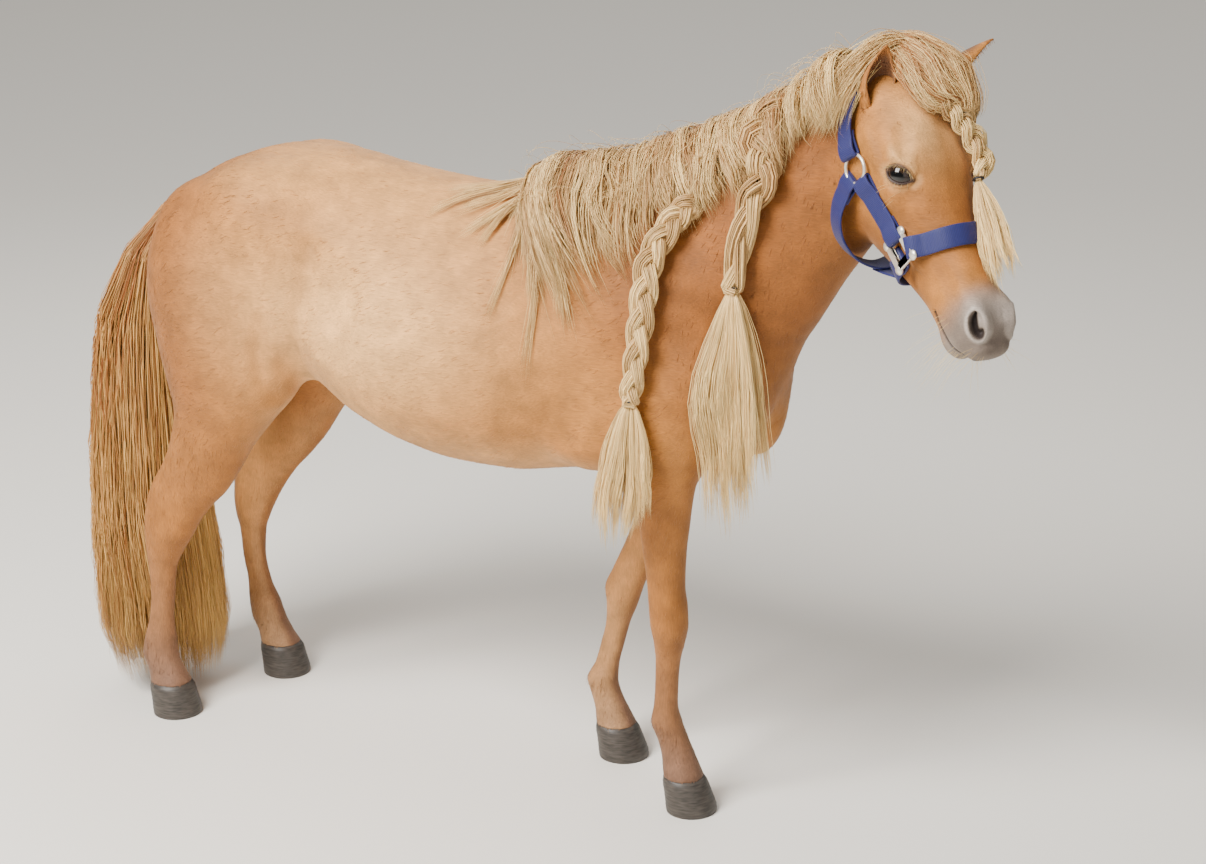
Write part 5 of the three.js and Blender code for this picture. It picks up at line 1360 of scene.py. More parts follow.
def turned_ring(name, place, radius, thick, material, segments, steps):
    """A ring of round wire or cord: a circle turned about an axis, and laid in its place."""
    ring = bmesh.new()
    upright = Matrix.Rotation(math.pi / 2, 4, "X")
    bmesh.ops.create_circle(ring, segments=segments, radius=thick * 0.001, matrix=upright)
    for vert in ring.verts:
        vert.co.x += radius * 0.001
    bmesh.ops.spin(
        ring, geom=ring.edges[:] + ring.verts[:], axis=(0, 0, 1), cent=(0, 0, 0), angle=2 * math.pi,
        steps=steps, use_merge=True, use_duplicate=False,
    )
    bmesh.ops.transform(ring, matrix=place, verts=ring.verts)
    return finished(name, ring, material)


def tie_ring(name, place, along, radius, thick, material):
    """A round elastic band about a plait's waist."""
    turn = Vector((0, 0, 1)).rotation_difference(Vector(along)).to_matrix().to_4x4()
    return turned_ring(name, moved_to(place) @ turn, radius, thick, material, 10, 28)


FRONT_WIDTH = Track([[0, 50], [0.35, 54], [0.7, 40], [0.94, 26], [1, 13]], 1)
REAR_WIDTH = Track([[0, 40], [0.3, 42], [0.7, 36], [0.95, 24], [1, 13]], 1)
FORELOCK_WIDTH = Track([[0, 38], [0.5, 38], [0.85, 31], [0.95, 20], [1, 12]], 1)


def front_line():
    roots = [on_neck(7.5, 6, 6), on_neck(6.7, 20, 10), on_neck(6.1, 44, 17)]
    points = [*roots, right_side(561, 956, 19), right_side(540, 902, 16), right_side(526, 806, 14)]
    return np.array([*points, points[-1] + [0, 0, -5]])


def rear_line():
    places = [(458, 905, 10), (434, 878, 18), (416, 832, 18), (417, 775, 17), (416, 709, 16), (410, 648, 14)]
    points = [right_side(*place) for place in places]
    return np.array([*points, points[-1] + [0, 0, -5]])


FORELOCK_PAD = [(-54, -20, 4), (-28, 8, 8), (2, 25, 13), (32, 31, 18), (58, 31, 34), (84, 28, 34)]
FORELOCK_SPREAD = Track([[0, 56], [0.2, 74], [0.4, 98], [0.6, 106], [0.8, 66], [1, 34]], 1)
FORELOCK_HEIGHT = Track([[0, 36], [0.2, 44], [0.5, 46], [0.8, 36], [1, 24]], 1)


def forelock_line():
    rows = [44, 33, -8], [56, 36, 4], [70, 37, 15], [88, 36, 27], [113, 31, 38], [143, 26, 43], [166, 24, 25]
    return in_head(*np.transpose(rows))


def make_forelock(dice, count, name, wild):
    """Hair combed from the poll over the forehead into the plait beside the left brow."""
    steps = 12
    pad = through([[in_head(*row) for row in FORELOCK_PAD]], steps)[0]
    along = unit(np.gradient(pad, axis=0))
    face = unit(HEAD_UP - (along @ HEAD_UP)[:, None] * along)
    across = np.cross(along, face)
    clump = Clumps(dice, 70, count)
    lane = clump.even(-0.15, math.pi + 0.15) + dice.normal(0, 0.07, (count, 1))
    out = 0.70 + 0.42 * np.sqrt(clump.even(0, 1)) + dice.normal(0, 0.05, (count, 1))
    wave = clump.even(0, 6.28)
    t = np.linspace(0, 1, steps)[None]
    begin = dice.uniform(0, 0.36, (count, 1))
    at = begin + (1 - begin) * t
    turn = lane + 0.22 * np.sin(wave + 5 * t) + dice.normal(0, 0.5, (count, 1)) * wild * t
    reach = out * (1 + 0.05 * np.sin(wave * 2 + 8 * t)) + wild * np.abs(dice.normal(0, 1, (count, 1))) * t
    index = at * (steps - 1)
    low = np.minimum(index.astype(int), steps - 2)
    share = (index - low)[..., None]
    frame = (pad, across, face)
    middle, wide_way, high_way = [row[low] + (row[low + 1] - row[low]) * share for row in frame]
    wide = (np.cos(turn) * FORELOCK_SPREAD(at) * 0.5 * reach)[..., None]
    high = (np.sin(turn) * FORELOCK_HEIGHT(at) * 0.5 * reach)[..., None]
    spines = kept_clear(middle + wide_way * wide + high_way * high, 1.5)
    light = 0.38 + clump.stray(0.28)
    widths = (0.5, 0.9) if wild else (1.2, 2.1)
    taper = ([0, 0.1, 0.8, 1], [0.5, 1, 0.9, 0.2])
    return make_hair(dice, name, spines, light, widths, HEAD_UP, 0.35, 0.14, taper=taper)


# Short coat where it breaks the form
def coat_lie(p):
    """The way the short coat lies."""
    x, y, z = p.T[..., None]
    lie = np.tile([-1.0, 0.0, -0.42], (len(p), 1))
    lie += ease(330, 450, x) * ease(620, 700, z) * np.array([0.55, 0, -0.75])
    lie += ease(440, 510, x) * ease(760, 700, z) * np.array([0.9, 0, -1.0])
    low = ease(560, 440, z) * (np.abs(y) > 20)
    lie = lie * (1 - low) + low * np.array([-0.12, 0, -1.0])
    rump = ease(-300, -380, x) * ease(440, 560, z)
    lie = lie * (1 - rump) + rump * np.array([-0.25, 0, -1.0])
    on_head = ease(-15, 25, head_share(p))[:, None]
    return unit(lie * (1 - on_head) + on_head * (HEAD_ALONG - 0.12 * HEAD_UP))


def coat_length(p):
    z = p[:, 2]
    on_head = ease(-15, 25, head_share(p))
    length = 15 - 4 * ease(470, 380, z) - on_head * (7.5 + 3.5 * ease(250, 330, head_places(p)[:, 0]))
    return length + 4 * bell(z, 105, 32) * (1 - on_head)


def skin_samples(dice, mesh, count, wanted):
    """Random places on the skin, even over its area but only where a test on them allows."""
    mesh.calc_loop_triangles()
    corners = np.empty(len(mesh.loop_triangles) * 3, np.int32)
    mesh.loop_triangles.foreach_get("vertices", corners)
    corners = corners.reshape(-1, 3)
    p, normals = mesh_places(mesh), mesh_normals(mesh)
    a, b, c = (p[corners[:, n]] for n in range(3))
    area = np.linalg.norm(np.cross(b - a, c - a), axis=1) * 0.5
    weight = area * wanted((a + b + c) / 3)
    faces = dice.choice(len(corners), count, p=weight / weight.sum())
    r, q = np.sqrt(dice.uniform(0, 1, count)), dice.uniform(0, 1, count)
    shares = np.stack([1 - r, r * (1 - q), r * q], 1)[..., None]
    return (p[corners[faces]] * shares).sum(1), unit((normals[corners[faces]] * shares).sum(1))


def on_trunk(p):
    return (head_share(p) <= 0) & (p[:, 2] > 500)


def on_head(p):
    return head_share(p) > 0


def on_legs(p):
    return (head_share(p) <= 0) & (p[:, 2] <= 500) & (p[:, 2] > 50)


def bare_places(p):
    """Where no tuft grows: the eye openings, nostrils and mouth."""
    s, u, v = head_places(p).T
    bare = (head_share(p) > 40) & (s > 296) & (np.abs(u - MOUTH_LINE(s)) < 4)
    for spot in NOSTRILS:
        bare |= from_nostril(p, spot)[0] < 3
    for eye in EYES.values():
        a, b, c = eye.local(p).T
        near = (np.abs(a) < 24) & (np.abs(b) < 20) & (c > 0)
        bare |= near & (from_eye_opening(a, b) < 2.6)
    return bare


def make_tufts(dice, name, mesh, count, wanted):
    """Flat tufts of short coat that lie close to the skin, in its colours painted a little lighter, as
    painted light against the shade on the tufts' sides.
    """
    places, normals = skin_samples(dice, mesh, count, wanted)
    keep = ~bare_places(places)
    places, normals = places[keep], normals[keep]
    count = len(places)
    lie = coat_lie(places)
    lie = unit(lie - (lie * normals).sum(1, keepdims=True) * normals)
    lie = unit(lie + 0.16 * dice.normal(0, 1, (count, 1)) * np.cross(normals, lie))
    length = coat_length(places) * dice.uniform(0.7, 1.25, count)
    rise = 0.05 + 0.03 * dice.normal(0, 1, count)
    t = np.linspace(0, 1, 3)[None, :, None]
    start = places[:, None] - 0.6 * normals[:, None]
    out = normals[:, None] * (length * rise)[:, None, None] * (1.4 * t - 0.4 * t**2)
    spines = start + lie[:, None] * (length[:, None, None] * t) + out
    # painted light: each tuft is up to a fifth lighter than the skin below, to offset the shade on its
    # sides; its tip is paler still
    tone = coat_colours(places, normals, palette("pony_coat")) * dice.uniform(1.0, 1.2, (count, 1))
    tones = np.repeat(tone[:, None], 3, 1)
    tones[:, -1] *= 1.08
    widths = np.clip(length * 0.11, 0.5, 1.4) * dice.uniform(0.8, 1.2, count)
    taper = ([0, 0.5, 1], [0.8, 0.8, 0.1])
    return make_locks(name, spines, widths, tones, normals, 0.22, taper, "fur")


WHISKERS = [
    # down the face, out of the forehead, to the side, length, how many on each side
    (352, -84, 20, 62, 13), (330, -96, 16, 58, 12), (372, -46, 22, 44, 9), (143, -40, 62, 34, 4),
    (318, -60, 36, 40, 6),
]


def drooping(roots, rays, lengths, droop):
    """Fine hairs from their roots along their rays, bent down towards the tip."""
    t = np.linspace(0, 1, 5)[None, :, None]
    return roots[:, None] + lengths[:, None, None] * (rays[:, None] * t + np.array([0, 0, -droop]) * t**2)


def make_fine_hairs(name, spines, shade):
    """Single thin hairs in a share of the pale hair's colour."""
    spines = np.concatenate(spines)
    tones = np.tile(palette("pony_hair")["hair_pale"] * shade, (*spines.shape[:2], 1))
    return make_locks(name, spines, np.full(len(spines), 0.42), tones, (0, 0, 1), 0.8)


def make_whiskers(dice):
    spines = []
    for s, u, v, length, count in WHISKERS:
        for side in (1, -1):
            spread = dice.normal(0, 1, (count, 3)) * [9, 6, 6]
            aim = in_head(s + spread[:, 0], u + spread[:, 1], side * (v + spread[:, 2]))
            core = in_head(s - 6, u + 26 if u < -70 else u * 0.8, 0)
            ray = unit(aim - core)
            root = surface(np.repeat(core[None], count, 0), ray, -0.5)
            spines.append(drooping(root, ray, length * dice.uniform(0.5, 1.2, count), 0.25))
    return make_fine_hairs("whiskers", spines, 0.9)


# Hooves
def make_hoof(name, material):
    """A horn wall that widens to the ground, from a cylinder with rings."""
    front, back, half, out = LEG_ROWS[name][-1][1:]
    toe = 20 if name.startswith("front") else 15
    levels = [
        [0, front + toe, back + 8, half + 8], [2, front + toe + 0.3, back + 7.6, half + 8],
        [26, front + toe * 0.62, back + 4, half + 5.2], [CORONET - 9, front + 5, back + 1, half + 2.4],
        [CORONET - 3, front + 1.2, back + 1, half - 0.2], [CORONET - 0.3, front - 2.5, back + 3, half - 3],
    ]
    toe_at, heel_at, width = [Track(levels, column) for column in (1, 2, 3)]
    hoof = bmesh.new()
    bmesh.ops.create_cone(hoof, cap_ends=True, cap_tris=False, segments=40, radius1=1, radius2=1, depth=1)
    upright = [e for e in hoof.edges if abs(e.verts[0].co.z - e.verts[1].co.z) > 0.5]
    bmesh.ops.subdivide_edges(hoof, edges=upright, cuts=17, use_grid_fill=True)
    for vert in hoof.verts:
        height = (vert.co.z + 0.5) * (CORONET - 0.3)
        c, s = vert.co.x, vert.co.y
        long = math.copysign(abs(c) ** (0.75 if c < 0 else 1), c)
        ring = 0.35 * math.sin(height * 0.9) * (0 < height < CORONET - 4)
        front_at, back_at = toe_at(height), heel_at(height)
        x = (front_at + back_at) / 2 + ((front_at - back_at) / 2 + ring) * long
        y = hand_of(name) * out + (width(height) + ring) * s * (0.9 + 0.1 * (1 + c) if c < 0 else 1)
        vert.co = to_frame([x, y, height])
    return finished(f"hoof_wall_{name}", hoof, material)


def hoof_material(colour):
    """Horn with fine level bands."""
    material, shader = new_material("hoof_horn", 0.5)
    place = add_node(shader, "TexCoord", "Object")
    squeezed = add_node(shader, "Mapping", "Vector", {"Vector": place}, Scale=(60, 60, 420))
    bands = add_node(shader, "TexNoise", "Fac", {"Vector": squeezed}, Scale=1, Detail=5)
    ramp = shaded_ramp(shader, bands, colour, (0.55, 1.7), (0.32, 0.72))
    bump = add_node(shader, "Bump", "Normal", {"Height": bands}, Strength=0.25, Distance=0.001)
    fill(shader, {"Base Color": ramp, "Normal": bump})
    return material


# Eyes
def make_eye(side, material):
    """An eyeball whose rings lie round its pupil, with pupil and iris in its own tones."""
    eye = EYES[side]
    ball = bmesh.new()
    spot = moved_to(eye.centre) @ Matrix(np.array([eye.long, eye.up, eye.out]).T.tolist()).to_4x4()
    bmesh.ops.create_uvsphere(ball, u_segments=64, v_segments=48, radius=EYE_RADIUS * 0.001, matrix=spot)
    obj = finished(f"eyeball_{side}", ball, material)
    a, b, c = eye.local(mesh_places(obj.data)).T
    tone = np.tile(linear(24, 17, 13), (len(a), 1))
    around = np.hypot(a, b)
    iris = ease(14.6, 13.2, around) * (c > 0)
    ray = 0.75 + 0.25 * np.sin(np.arctan2(b, a) * 37) * ease(5, 10, around)
    tone += (np.array(linear(46, 28, 18)) * ray[:, None] - tone) * iris[:, None]
    pupil = ease(1.08, 0.92, np.hypot(a / 10, b / 6)) * (c > 0)
    tone += (np.array(linear(4, 4, 5)) - tone) * pupil[:, None]
    put_colours(obj.data, tone)
    return obj


def on_ball(eye, a, b, above):
    """Places in front of the eyeball, a little above it."""
    return eye.place(a, b, np.sqrt(np.maximum((EYE_RADIUS + above) ** 2 - a**2 - b**2, 1)))


def make_lid_edges(side, material):
    """The bare edge of the lids round the eye opening."""
    eye = EYES[side]
    steps = 72
    turn = np.linspace(0, 2 * math.pi, steps, endpoint=False)
    a = EYE_LENGTH * np.cos(turn)
    high, low = eye_edge(a)
    path = on_ball(eye, a, np.where(np.sin(turn) >= 0, high, low), 0.8)
    ring = bmesh.new()
    bmesh.ops.create_grid(ring, x_segments=steps, y_segments=10, size=1)
    for vert in ring.verts:
        i = int(round((vert.co.x + 1) / 2 * steps)) % steps
        j = round((vert.co.y + 1) / 2 * 10)
        out = unit(path[i] - eye.centre)
        across = np.cross(unit(path[(i + 1) % steps] - path[i - 1]), out)
        swing = 2 * math.pi * j / 10
        vert.co = to_frame(path[i] + 1.15 * (math.cos(swing) * across + math.sin(swing) * out))
    bmesh.ops.remove_doubles(ring, verts=ring.verts, dist=1e-6)
    return finished(f"lid_edge_{side}", ring, material)


def make_lashes(dice):
    spines = []
    for eye in EYES.values():
        for lid, count, length, lift in ((0, 54, 15, 0.3), (1, 14, 8, -0.5)):
            a = dice.uniform(-0.9, 0.85, count) * EYE_LENGTH
            root = on_ball(eye, a, eye_edge(a)[lid], 1.2)
            size = length * dice.uniform(0.6, 1.15, count)
            lift = lift + dice.normal(0, 0.15, count)
            ray = unit(eye.out * 0.8 + np.outer(a, eye.long) * 0.03 + np.outer(lift, eye.up))
            spines.append(drooping(root, ray, size, 0.55))
    return make_fine_hairs("lashes", spines, 0.45)


# Halter
RING = (92, -72)
RING_RADIUS, WIRE = 19, 2.3
FITTING = (214, -68)
FITTING_REACH = 16.5
NOSE_HALF = [(214, 188), (218, 170), (223, 150), (227, 125), (229, 105), (230, 90)]
CHIN_HALF = [(217, 190), (219, 215), (221, 240), (222, 256), (222, 270)]
CHEEK = [(92, -72), (124, -71), (162, -70), (214, -68)]
STRAP_REST = 1.4
CROWN_HALF = [
    (92, 177), (66, 175), (46, 172), (22, 163), (-1, 152), (-22, 143), (-33, 124), (-40, 106), (-42, 90),
]
THROAT_HALF = [
    (92, -72, -75), (98, -86, -75), (107, -107, -80), (120, -128, -82), (138, -146, -79), (157, -162, -66),
    (175, -176, -40), (185, -182, 0),
]


def around_head(stations, start, lift):
    """Places where a band lies round the head: down the face, and degrees about the head's axis."""
    s, turn = np.array(stations, float).T
    turn = np.radians(turn)
    ray = np.outer(np.cos(turn), HEAD_SIDE) + np.outer(np.sin(turn), HEAD_UP)
    origin = in_head(s, np.full(len(s), float(start)), np.zeros(len(s)))
    return surface(origin, ray, lift + STRAP_REST), in_head(stations[0][0], start, 0)


def whole_band(half):
    return half + [(s, 180 - degrees) for s, degrees in half[-2::-1]]


def run_along(line):
    """How far each place of a line lies from its start, measured along it."""
    return np.concatenate([[0], np.cumsum(np.linalg.norm(np.diff(line, axis=0), axis=1))])


def evenly(line, count):
    """A line read again at even lengths."""
    run = run_along(line)
    at = np.linspace(0, run[-1], count)
    return np.stack([np.interp(at, run, line[:, axis]) for axis in range(3)], 1)


def folded_end(line, face, thick):
    """Raises the last places of a strap over a wire, and gives the fold round it and the layer below."""
    ahead = unit(line[-1] - line[-3])
    away = np.linalg.norm(line - line[-1], axis=1)
    rise = WIRE + thick / 2 + 0.2
    raised = line + face * (rise * (1 - ease(5, 24, away)))[:, None]
    turn = np.radians(np.arange(22.5, 170, 22.5))
    fold = line[-1] + rise * (np.outer(np.sin(turn), ahead) + np.outer(np.cos(turn), face[-1]))
    back = np.array([3.0, 8, 13, 18, 23, 28])
    under = [line[int(np.argmin(np.abs(away - x)))] for x in back]
    low = thick + 0.3 + (rise - thick - 0.3) * (1 - ease(3, 20, back))
    return raised, np.concatenate([fold, np.array(under) - low[:, None] * face[-1]])


def make_band(name, path, inside, width, thick, material, steps, rings=()):
    """A flat strap of webbing: a grid bent along a line of places, thickened, with its edges eased. Where it
    starts and ends at wires, given by their middles and radii, the strap is folded round them."""
    line = through([path], 600)[0]
    for middle, radius in rings:
        line = line[np.linalg.norm(line - middle, axis=1) > radius]
    line = evenly(line, steps + 1)
    along = unit(np.gradient(line, axis=0))
    face = line - inside
    face = unit(face - (face * along).sum(1, keepdims=True) * along)
    across = np.cross(along, face)
    if rings:
        line, last = folded_end(line, face, thick)
        line, first = folded_end(line[::-1], face[::-1], thick)
        line = np.concatenate([first[::-1], line[::-1], last])
        across = across[np.clip(np.arange(len(line)) - len(first), 0, steps)]
    face = unit(np.cross(across, unit(np.gradient(line, axis=0))))
    steps = len(line) - 1
    length = run_along(line)
    band = bmesh.new()
    bmesh.ops.create_grid(band, x_segments=steps, y_segments=6, size=1)
    weave = band.loops.layers.uv.new("weave")
    places = {}
    for vert in band.verts:
        i = round((vert.co.x + 1) / 2 * steps)
        j = vert.co.y
        crown = 0.25 * (1 - j * j)
        places[vert] = (length[i] / 1000, j * width / 2000)
        vert.co = to_frame(line[i] + across[i] * (j * width / 2) + face[i] * (crown + thick / 2))
    for poly in band.faces:
        for loop in poly.loops:
            loop[weave].uv = places[loop.vert]
    bmesh.ops.recalc_face_normals(band, faces=band.faces)
    if sum(f.normal.dot(f.calc_center_median() - Vector(to_frame(inside))) for f in band.faces) < 0:
        bmesh.ops.reverse_faces(band, faces=band.faces)
    bmesh.ops.solidify(band, geom=band.faces[:], thickness=thick * 0.001)
    bmesh.ops.recalc_face_normals(band, faces=band.faces)
    rim = [e for e in band.edges if len(e.link_faces) == 2 and e.calc_face_angle(0) > 1.2]
    eased(band, rim, thick * 0.0003, 2)
    return finished(name, band, material)


def eased(shape, edges, offset, segments):
    """Rounds some edges of a shape."""
    bmesh.ops.bevel(
        shape, geom=edges, offset=offset, offset_type="OFFSET", segments=segments, profile=0.5,
        affect="EDGES", material=-1,
    )


def webbing_material(colour):
    """Ribbed webbing: ribs run across the strap, by its own map."""
    material, shader = new_material("ribbed_webbing", 0.55, Sheen_Weight=0.1)
    weave = add_node(shader, "UVMap", "UV", uv_map="weave")
    ribs = {}
    for n, (way, scale, bent) in enumerate((("X", 150, 0.3), ("Y", 230, 0))):
        ribs[n] = add_node(
            shader, "TexWave", "Fac", {"Vector": weave}, wave_type="BANDS", bands_direction=way, Scale=scale,
            Distortion=bent,
        )
    both = add_node(shader, "Math", "Value", ribs, operation="MULTIPLY")
    bump = add_node(shader, "Bump", "Normal", {"Height": both}, Strength=0.6, Distance=0.0005)
    fill(shader, {"Base Color": shaded_ramp(shader, both, colour, (0.55, 1.25)), "Normal": bump})
    return material


def side_place(s, u, side, lift):
    return surface(in_head(s, u, 0), side * HEAD_SIDE, lift + STRAP_REST)[0]


def lay_on_side(s, u, side, lift):
    """A turn and place for a piece of metal that lies on the side of the head."""
    out = side * HEAD_SIDE
    axes = np.array([HEAD_ALONG, np.cross(out, HEAD_ALONG), out]).T
    return moved_to(side_place(s, u, side, lift)) @ Matrix(axes.tolist()).to_4x4()


def make_fitting(name, side, material):
    """A cast square with a slot for each strap and round lugs at its corners."""
    cast = bmesh.new()
    bmesh.ops.create_cube(cast, size=1)
    bmesh.ops.scale(cast, vec=(0.043, 0.041, 0.0052), verts=cast.verts)
    flats = [f for f in cast.faces if abs(f.normal.z) > 0.9]
    for flat in flats:
        bmesh.ops.inset_region(cast, faces=[flat], thickness=0.0092, use_even_offset=True)
    bmesh.ops.bridge_loops(cast, edges=list({e for f in flats for e in f.edges}))
    bmesh.ops.delete(cast, geom=flats, context="FACES_ONLY")
    eased(cast, cast.edges[:], 0.0011, 3)
    for x in (-0.0182, 0.0182):
        for y in (-0.0172, 0.0172):
            spot = Matrix.Translation((x, y, 0)) @ Matrix.Diagonal((1, 1, 0.5, 1))
            bmesh.ops.create_uvsphere(cast, u_segments=20, v_segments=12, radius=0.0072, matrix=spot)
    turn = Matrix.Rotation(side * math.radians(-8), 4, "Z")
    bmesh.ops.transform(cast, matrix=lay_on_side(*FITTING, side, 7) @ turn, verts=cast.verts)
    return finished(name, cast, material)


# Settings
def hue(label, about, *rgb):
    return bpy.props.FloatVectorProperty(
        name=label, description=about, subtype="COLOR", size=3, min=0, max=1, default=linear(*rgb)
    )


def measure(label, about, default, unit="LENGTH"):
    return bpy.props.FloatProperty(name=label, description=about, default=default, unit=unit)


def number_of(label, about, default):
    return bpy.props.IntProperty(name=label, description=about, default=default)


class PonyCoatSettings(bpy.types.PropertyGroup):
    cell: measure("Skin cell", "Size of the skin's net on the trunk", 0.0066)
    trunk_tufts: number_of("Trunk tufts", "Tufts on trunk and neck", 19000)
    head_tufts: number_of("Head tufts", "Tufts on the head", 13000)
    leg_tufts: number_of("Leg tufts", "Tufts on the legs", 14000)
    body: hue("Body", "Main colour of the coat", 173, 113, 50)
    # This colour is also the painted highlight on the barrel and the back
    pale: hue("Pale", "Barrel, back, forehead and round the eyes", 232, 180, 118)
    # This colour is also the painted shade under the mane, on the legs, the lower face and the jaw
    deep: hue("Deep", "Rump, breast, nose bone and under the mane", 134, 78, 30)
    fetlock: hue("Fetlock", "Pasterns and fetlocks", 118, 88, 70)
    muzzle: hue("Muzzle", "Bare skin of the nose", 112, 102, 94)
    muzzle_rim: hue("Muzzle edge", "Where the coat meets the nose", 150, 116, 90)
    muzzle_pale: hue("Nostril rim", "Pale rim of the nostrils", 176, 164, 154)
    # This colour is painted shade inside the nostrils and along the mouth line
    hollow: hue("Hollow", "Inside nostrils and mouth", 38, 28, 27)
    lid: hue("Lids", "Bare edge of the lids", 62, 46, 42)
    chestnut: hue("Chestnut", "Callus inside the forelegs", 96, 78, 66)
    ear_inside: hue("Ear inside", "Cup of the ears", 92, 60, 42)


class PonyHairSettings(bpy.types.PropertyGroup):
    hair_pale: hue("Pale hair", "Tips of mane and tail", 255, 222, 152)
    hair_deep: hue("Deep hair", "Roots of mane and tail", 150, 94, 46)
    mane_hairs: number_of("Mane", "Locks in the mane", 4000)
    tail_hairs: number_of("Tail", "Locks in each half of the tail", 3600)
    plait_hairs: number_of("Plaits", "Hairs in a strand of a plait", 60)
    forelock_hairs: number_of("Forelock", "Locks in the forelock", 800)


class PonyHalterSettings(bpy.types.PropertyGroup):
    webbing: hue("Webbing", "Colour of the straps", 16, 26, 104)
    metal: hue("Metal", "Rings and fittings", 232, 226, 214)
    width: measure("Width", "Width of the straps", 0.0285)
    thick: measure("Thickness", "Thickness of the straps", 0.0030)


class PonyStageSettings(bpy.types.PropertyGroup):
    floor: hue("Floor", "Colour of the floor", 236, 233, 226)
    floor_reach: measure("Floor reach", "How far the floor runs each way", 120)
    key_light: measure("Key light", "Watts of the main lamp", 355, "POWER")
    fill_light: measure("Fill light", "Watts of the second lamp and of the one behind", 18, "POWER")
    ceiling_light: measure("Ceiling", "Watts of the wide lamp above", 820, "POWER")


GROUPS = {
    "pony_coat": PonyCoatSettings,
    "pony_hair": PonyHairSettings,
    "pony_halter": PonyHalterSettings,
    "pony_stage": PonyStageSettings,
}


def belongs(obj, slot, *nodes):
    """Lets a finished piece ride on the body and take the place of its nodes."""
    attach(obj, "root")
    if nodes:
        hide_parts(*nodes)
    return obj


# Operators
class PONY_OT_skin(bpy.types.Operator):
    """Makes one skin over the body, with ears, lids, nostrils and mouth"""

    bl_idname = "pony.skin"
    bl_label = "Skin"

    def execute(self, context):
        skin = make_skin(context.scene.pony_coat.cell)
        mesh = skin.data
        first_ear = len(mesh.vertices)
        with editing(mesh) as shape:
            BODY["tree"] = BVHTree.FromBMesh(shape)
            for side in SIDES:
                add_ear(shape, side)
        mesh.polygons.foreach_set("use_smooth", [True] * len(mesh.polygons))
        p, colours = mesh_places(mesh), palette("pony_coat")
        tone = coat_colours(p, mesh_normals(mesh), colours)
        put_colours(mesh, with_ear_tone(tone, first_ear, colours, p))
        mesh.materials.clear()
        mesh.materials.append(coat_material())
        belongs(skin, "coat", *FLESH_NODES)
        BODY["skin"] = skin
        BODY["hair"] = toned_material("long_hair", 0.5, Sheen_Weight=0.05)
        BODY["fur"] = toned_material("coat_tufts", 0.6, Sheen_Weight=0.05)
        return {"FINISHED"}


class PONY_OT_eyes(bpy.types.Operator):
    """Makes the eyeballs, the edges of the lids and the lashes"""

    bl_idname = "pony.eyes"
    bl_label = "Eyes"

    def execute(self, context):
        wet = toned_material("wet_eye", 0.12, Coat_Weight=0.6, Coat_Roughness=0.03)
        edge = plain_material("lid_skin", context.scene.pony_coat.lid, 0.4)
        for side in SIDES:
            belongs(make_eye(side, wet), "eye", f"eye_{side}")
            belongs(make_lid_edges(side, edge), "coat")
        belongs(make_lashes(np.random.default_rng(11)), "long_hair")
        return {"FINISHED"}


class PONY_OT_hooves(bpy.types.Operator):
    """Makes the four hooves"""

    bl_idname = "pony.hooves"
    bl_label = "Hooves"

    def execute(self, context):
        horn = hoof_material(linear(62, 57, 52))
        for name in LEG_ROWS:
            belongs(make_hoof(name, horn), "hoof", f"hoof_{name}")
        return {"FINISHED"}


class PONY_OT_coat(bpy.types.Operator):
    """Lays short tufts over the skin and sets the whiskers"""

    bl_idname = "pony.coat"
    bl_label = "Coat"

    def execute(self, context):
        settings = context.scene.pony_coat
        mesh = BODY["skin"].data
        dice = np.random.default_rng(21)
        belongs(make_tufts(dice, "coat_trunk", mesh, settings.trunk_tufts, on_trunk), "coat")
        belongs(make_tufts(dice, "coat_head", mesh, settings.head_tufts, on_head), "coat")
        belongs(make_tufts(dice, "coat_legs", mesh, settings.leg_tufts, on_legs), "coat")
        belongs(make_whiskers(dice), "long_hair")
        return {"FINISHED"}


class PONY_OT_tail(bpy.types.Operator):
    """Makes the tail from an inner and an outer layer of locks"""

    bl_idname = "pony.tail"
    bl_label = "Tail"

    def execute(self, context):
        dice, count = np.random.default_rng(31), context.scene.pony_hair.tail_hairs
        belongs(make_tail(dice, count, "tail_outer", False), "long_hair", "tail")
        belongs(make_tail(dice, count, "tail_inner", True), "long_hair")
        return {"FINISHED"}


class PONY_OT_mane(bpy.types.Operator):
    """Makes the mane, the loose locks over the back and those behind the poll"""

    bl_idname = "pony.mane"
    bl_label = "Mane"

    def execute(self, context):
        dice = np.random.default_rng(41)
        belongs(make_mane(dice, context.scene.pony_hair.mane_hairs), "long_hair", "mane")
        belongs(make_loose_mane(dice), "long_hair")
        belongs(make_frizz(dice, 420), "long_hair")
        belongs(make_poll_locks(dice, 110), "long_hair")
        return {"FINISHED"}


class PONY_OT_plaits(bpy.types.Operator):
    """Makes the two plaits of the mane with their ties and tassels"""

    bl_idname = "pony.plaits"
    bl_label = "Plaits"

    def execute(self, context):
        dice, hairs = np.random.default_rng(51), context.scene.pony_hair.plait_hairs
        BODY["elastic"] = plain_material("elastic_band", linear(30, 24, 22), 0.6)
        outward = np.array([0.15, -1, 0.15])
        rows = (
            ("front", front_line(), FRONT_WIDTH, 7.5, 0.38, (553, -10, 442), (96, 28), 1150),
            ("rear", rear_line(), REAR_WIDTH, 9.5, 0.55, (395, -2, 422), (76, 24), 850),
        )
        for name, line, width, lobes, light, (x, y, z), size, count in rows:
            plait = make_plait(dice, f"plait_{name}", line, width, lobes, outward, hairs, light)
            belongs(plait, "long_hair", f"braid_{name}")
            tie = tie_ring(f"band_{name}", line[-1], (0, 0, -1), 7.4, 1.7, BODY["elastic"])
            belongs(tie, "tie", f"tie_{name}")
            top, bottom = line[-1] + [0, 0, 3], np.array([x, line[-2][1] + y, z])
            tassel = make_tassel(
                dice, f"tassel_{name}", top, bottom, size, count, (0.88, 0.14), (0.8, 1.5), (0, -1, 0)
            )
            belongs(tassel, "long_hair")
        return {"FINISHED"}


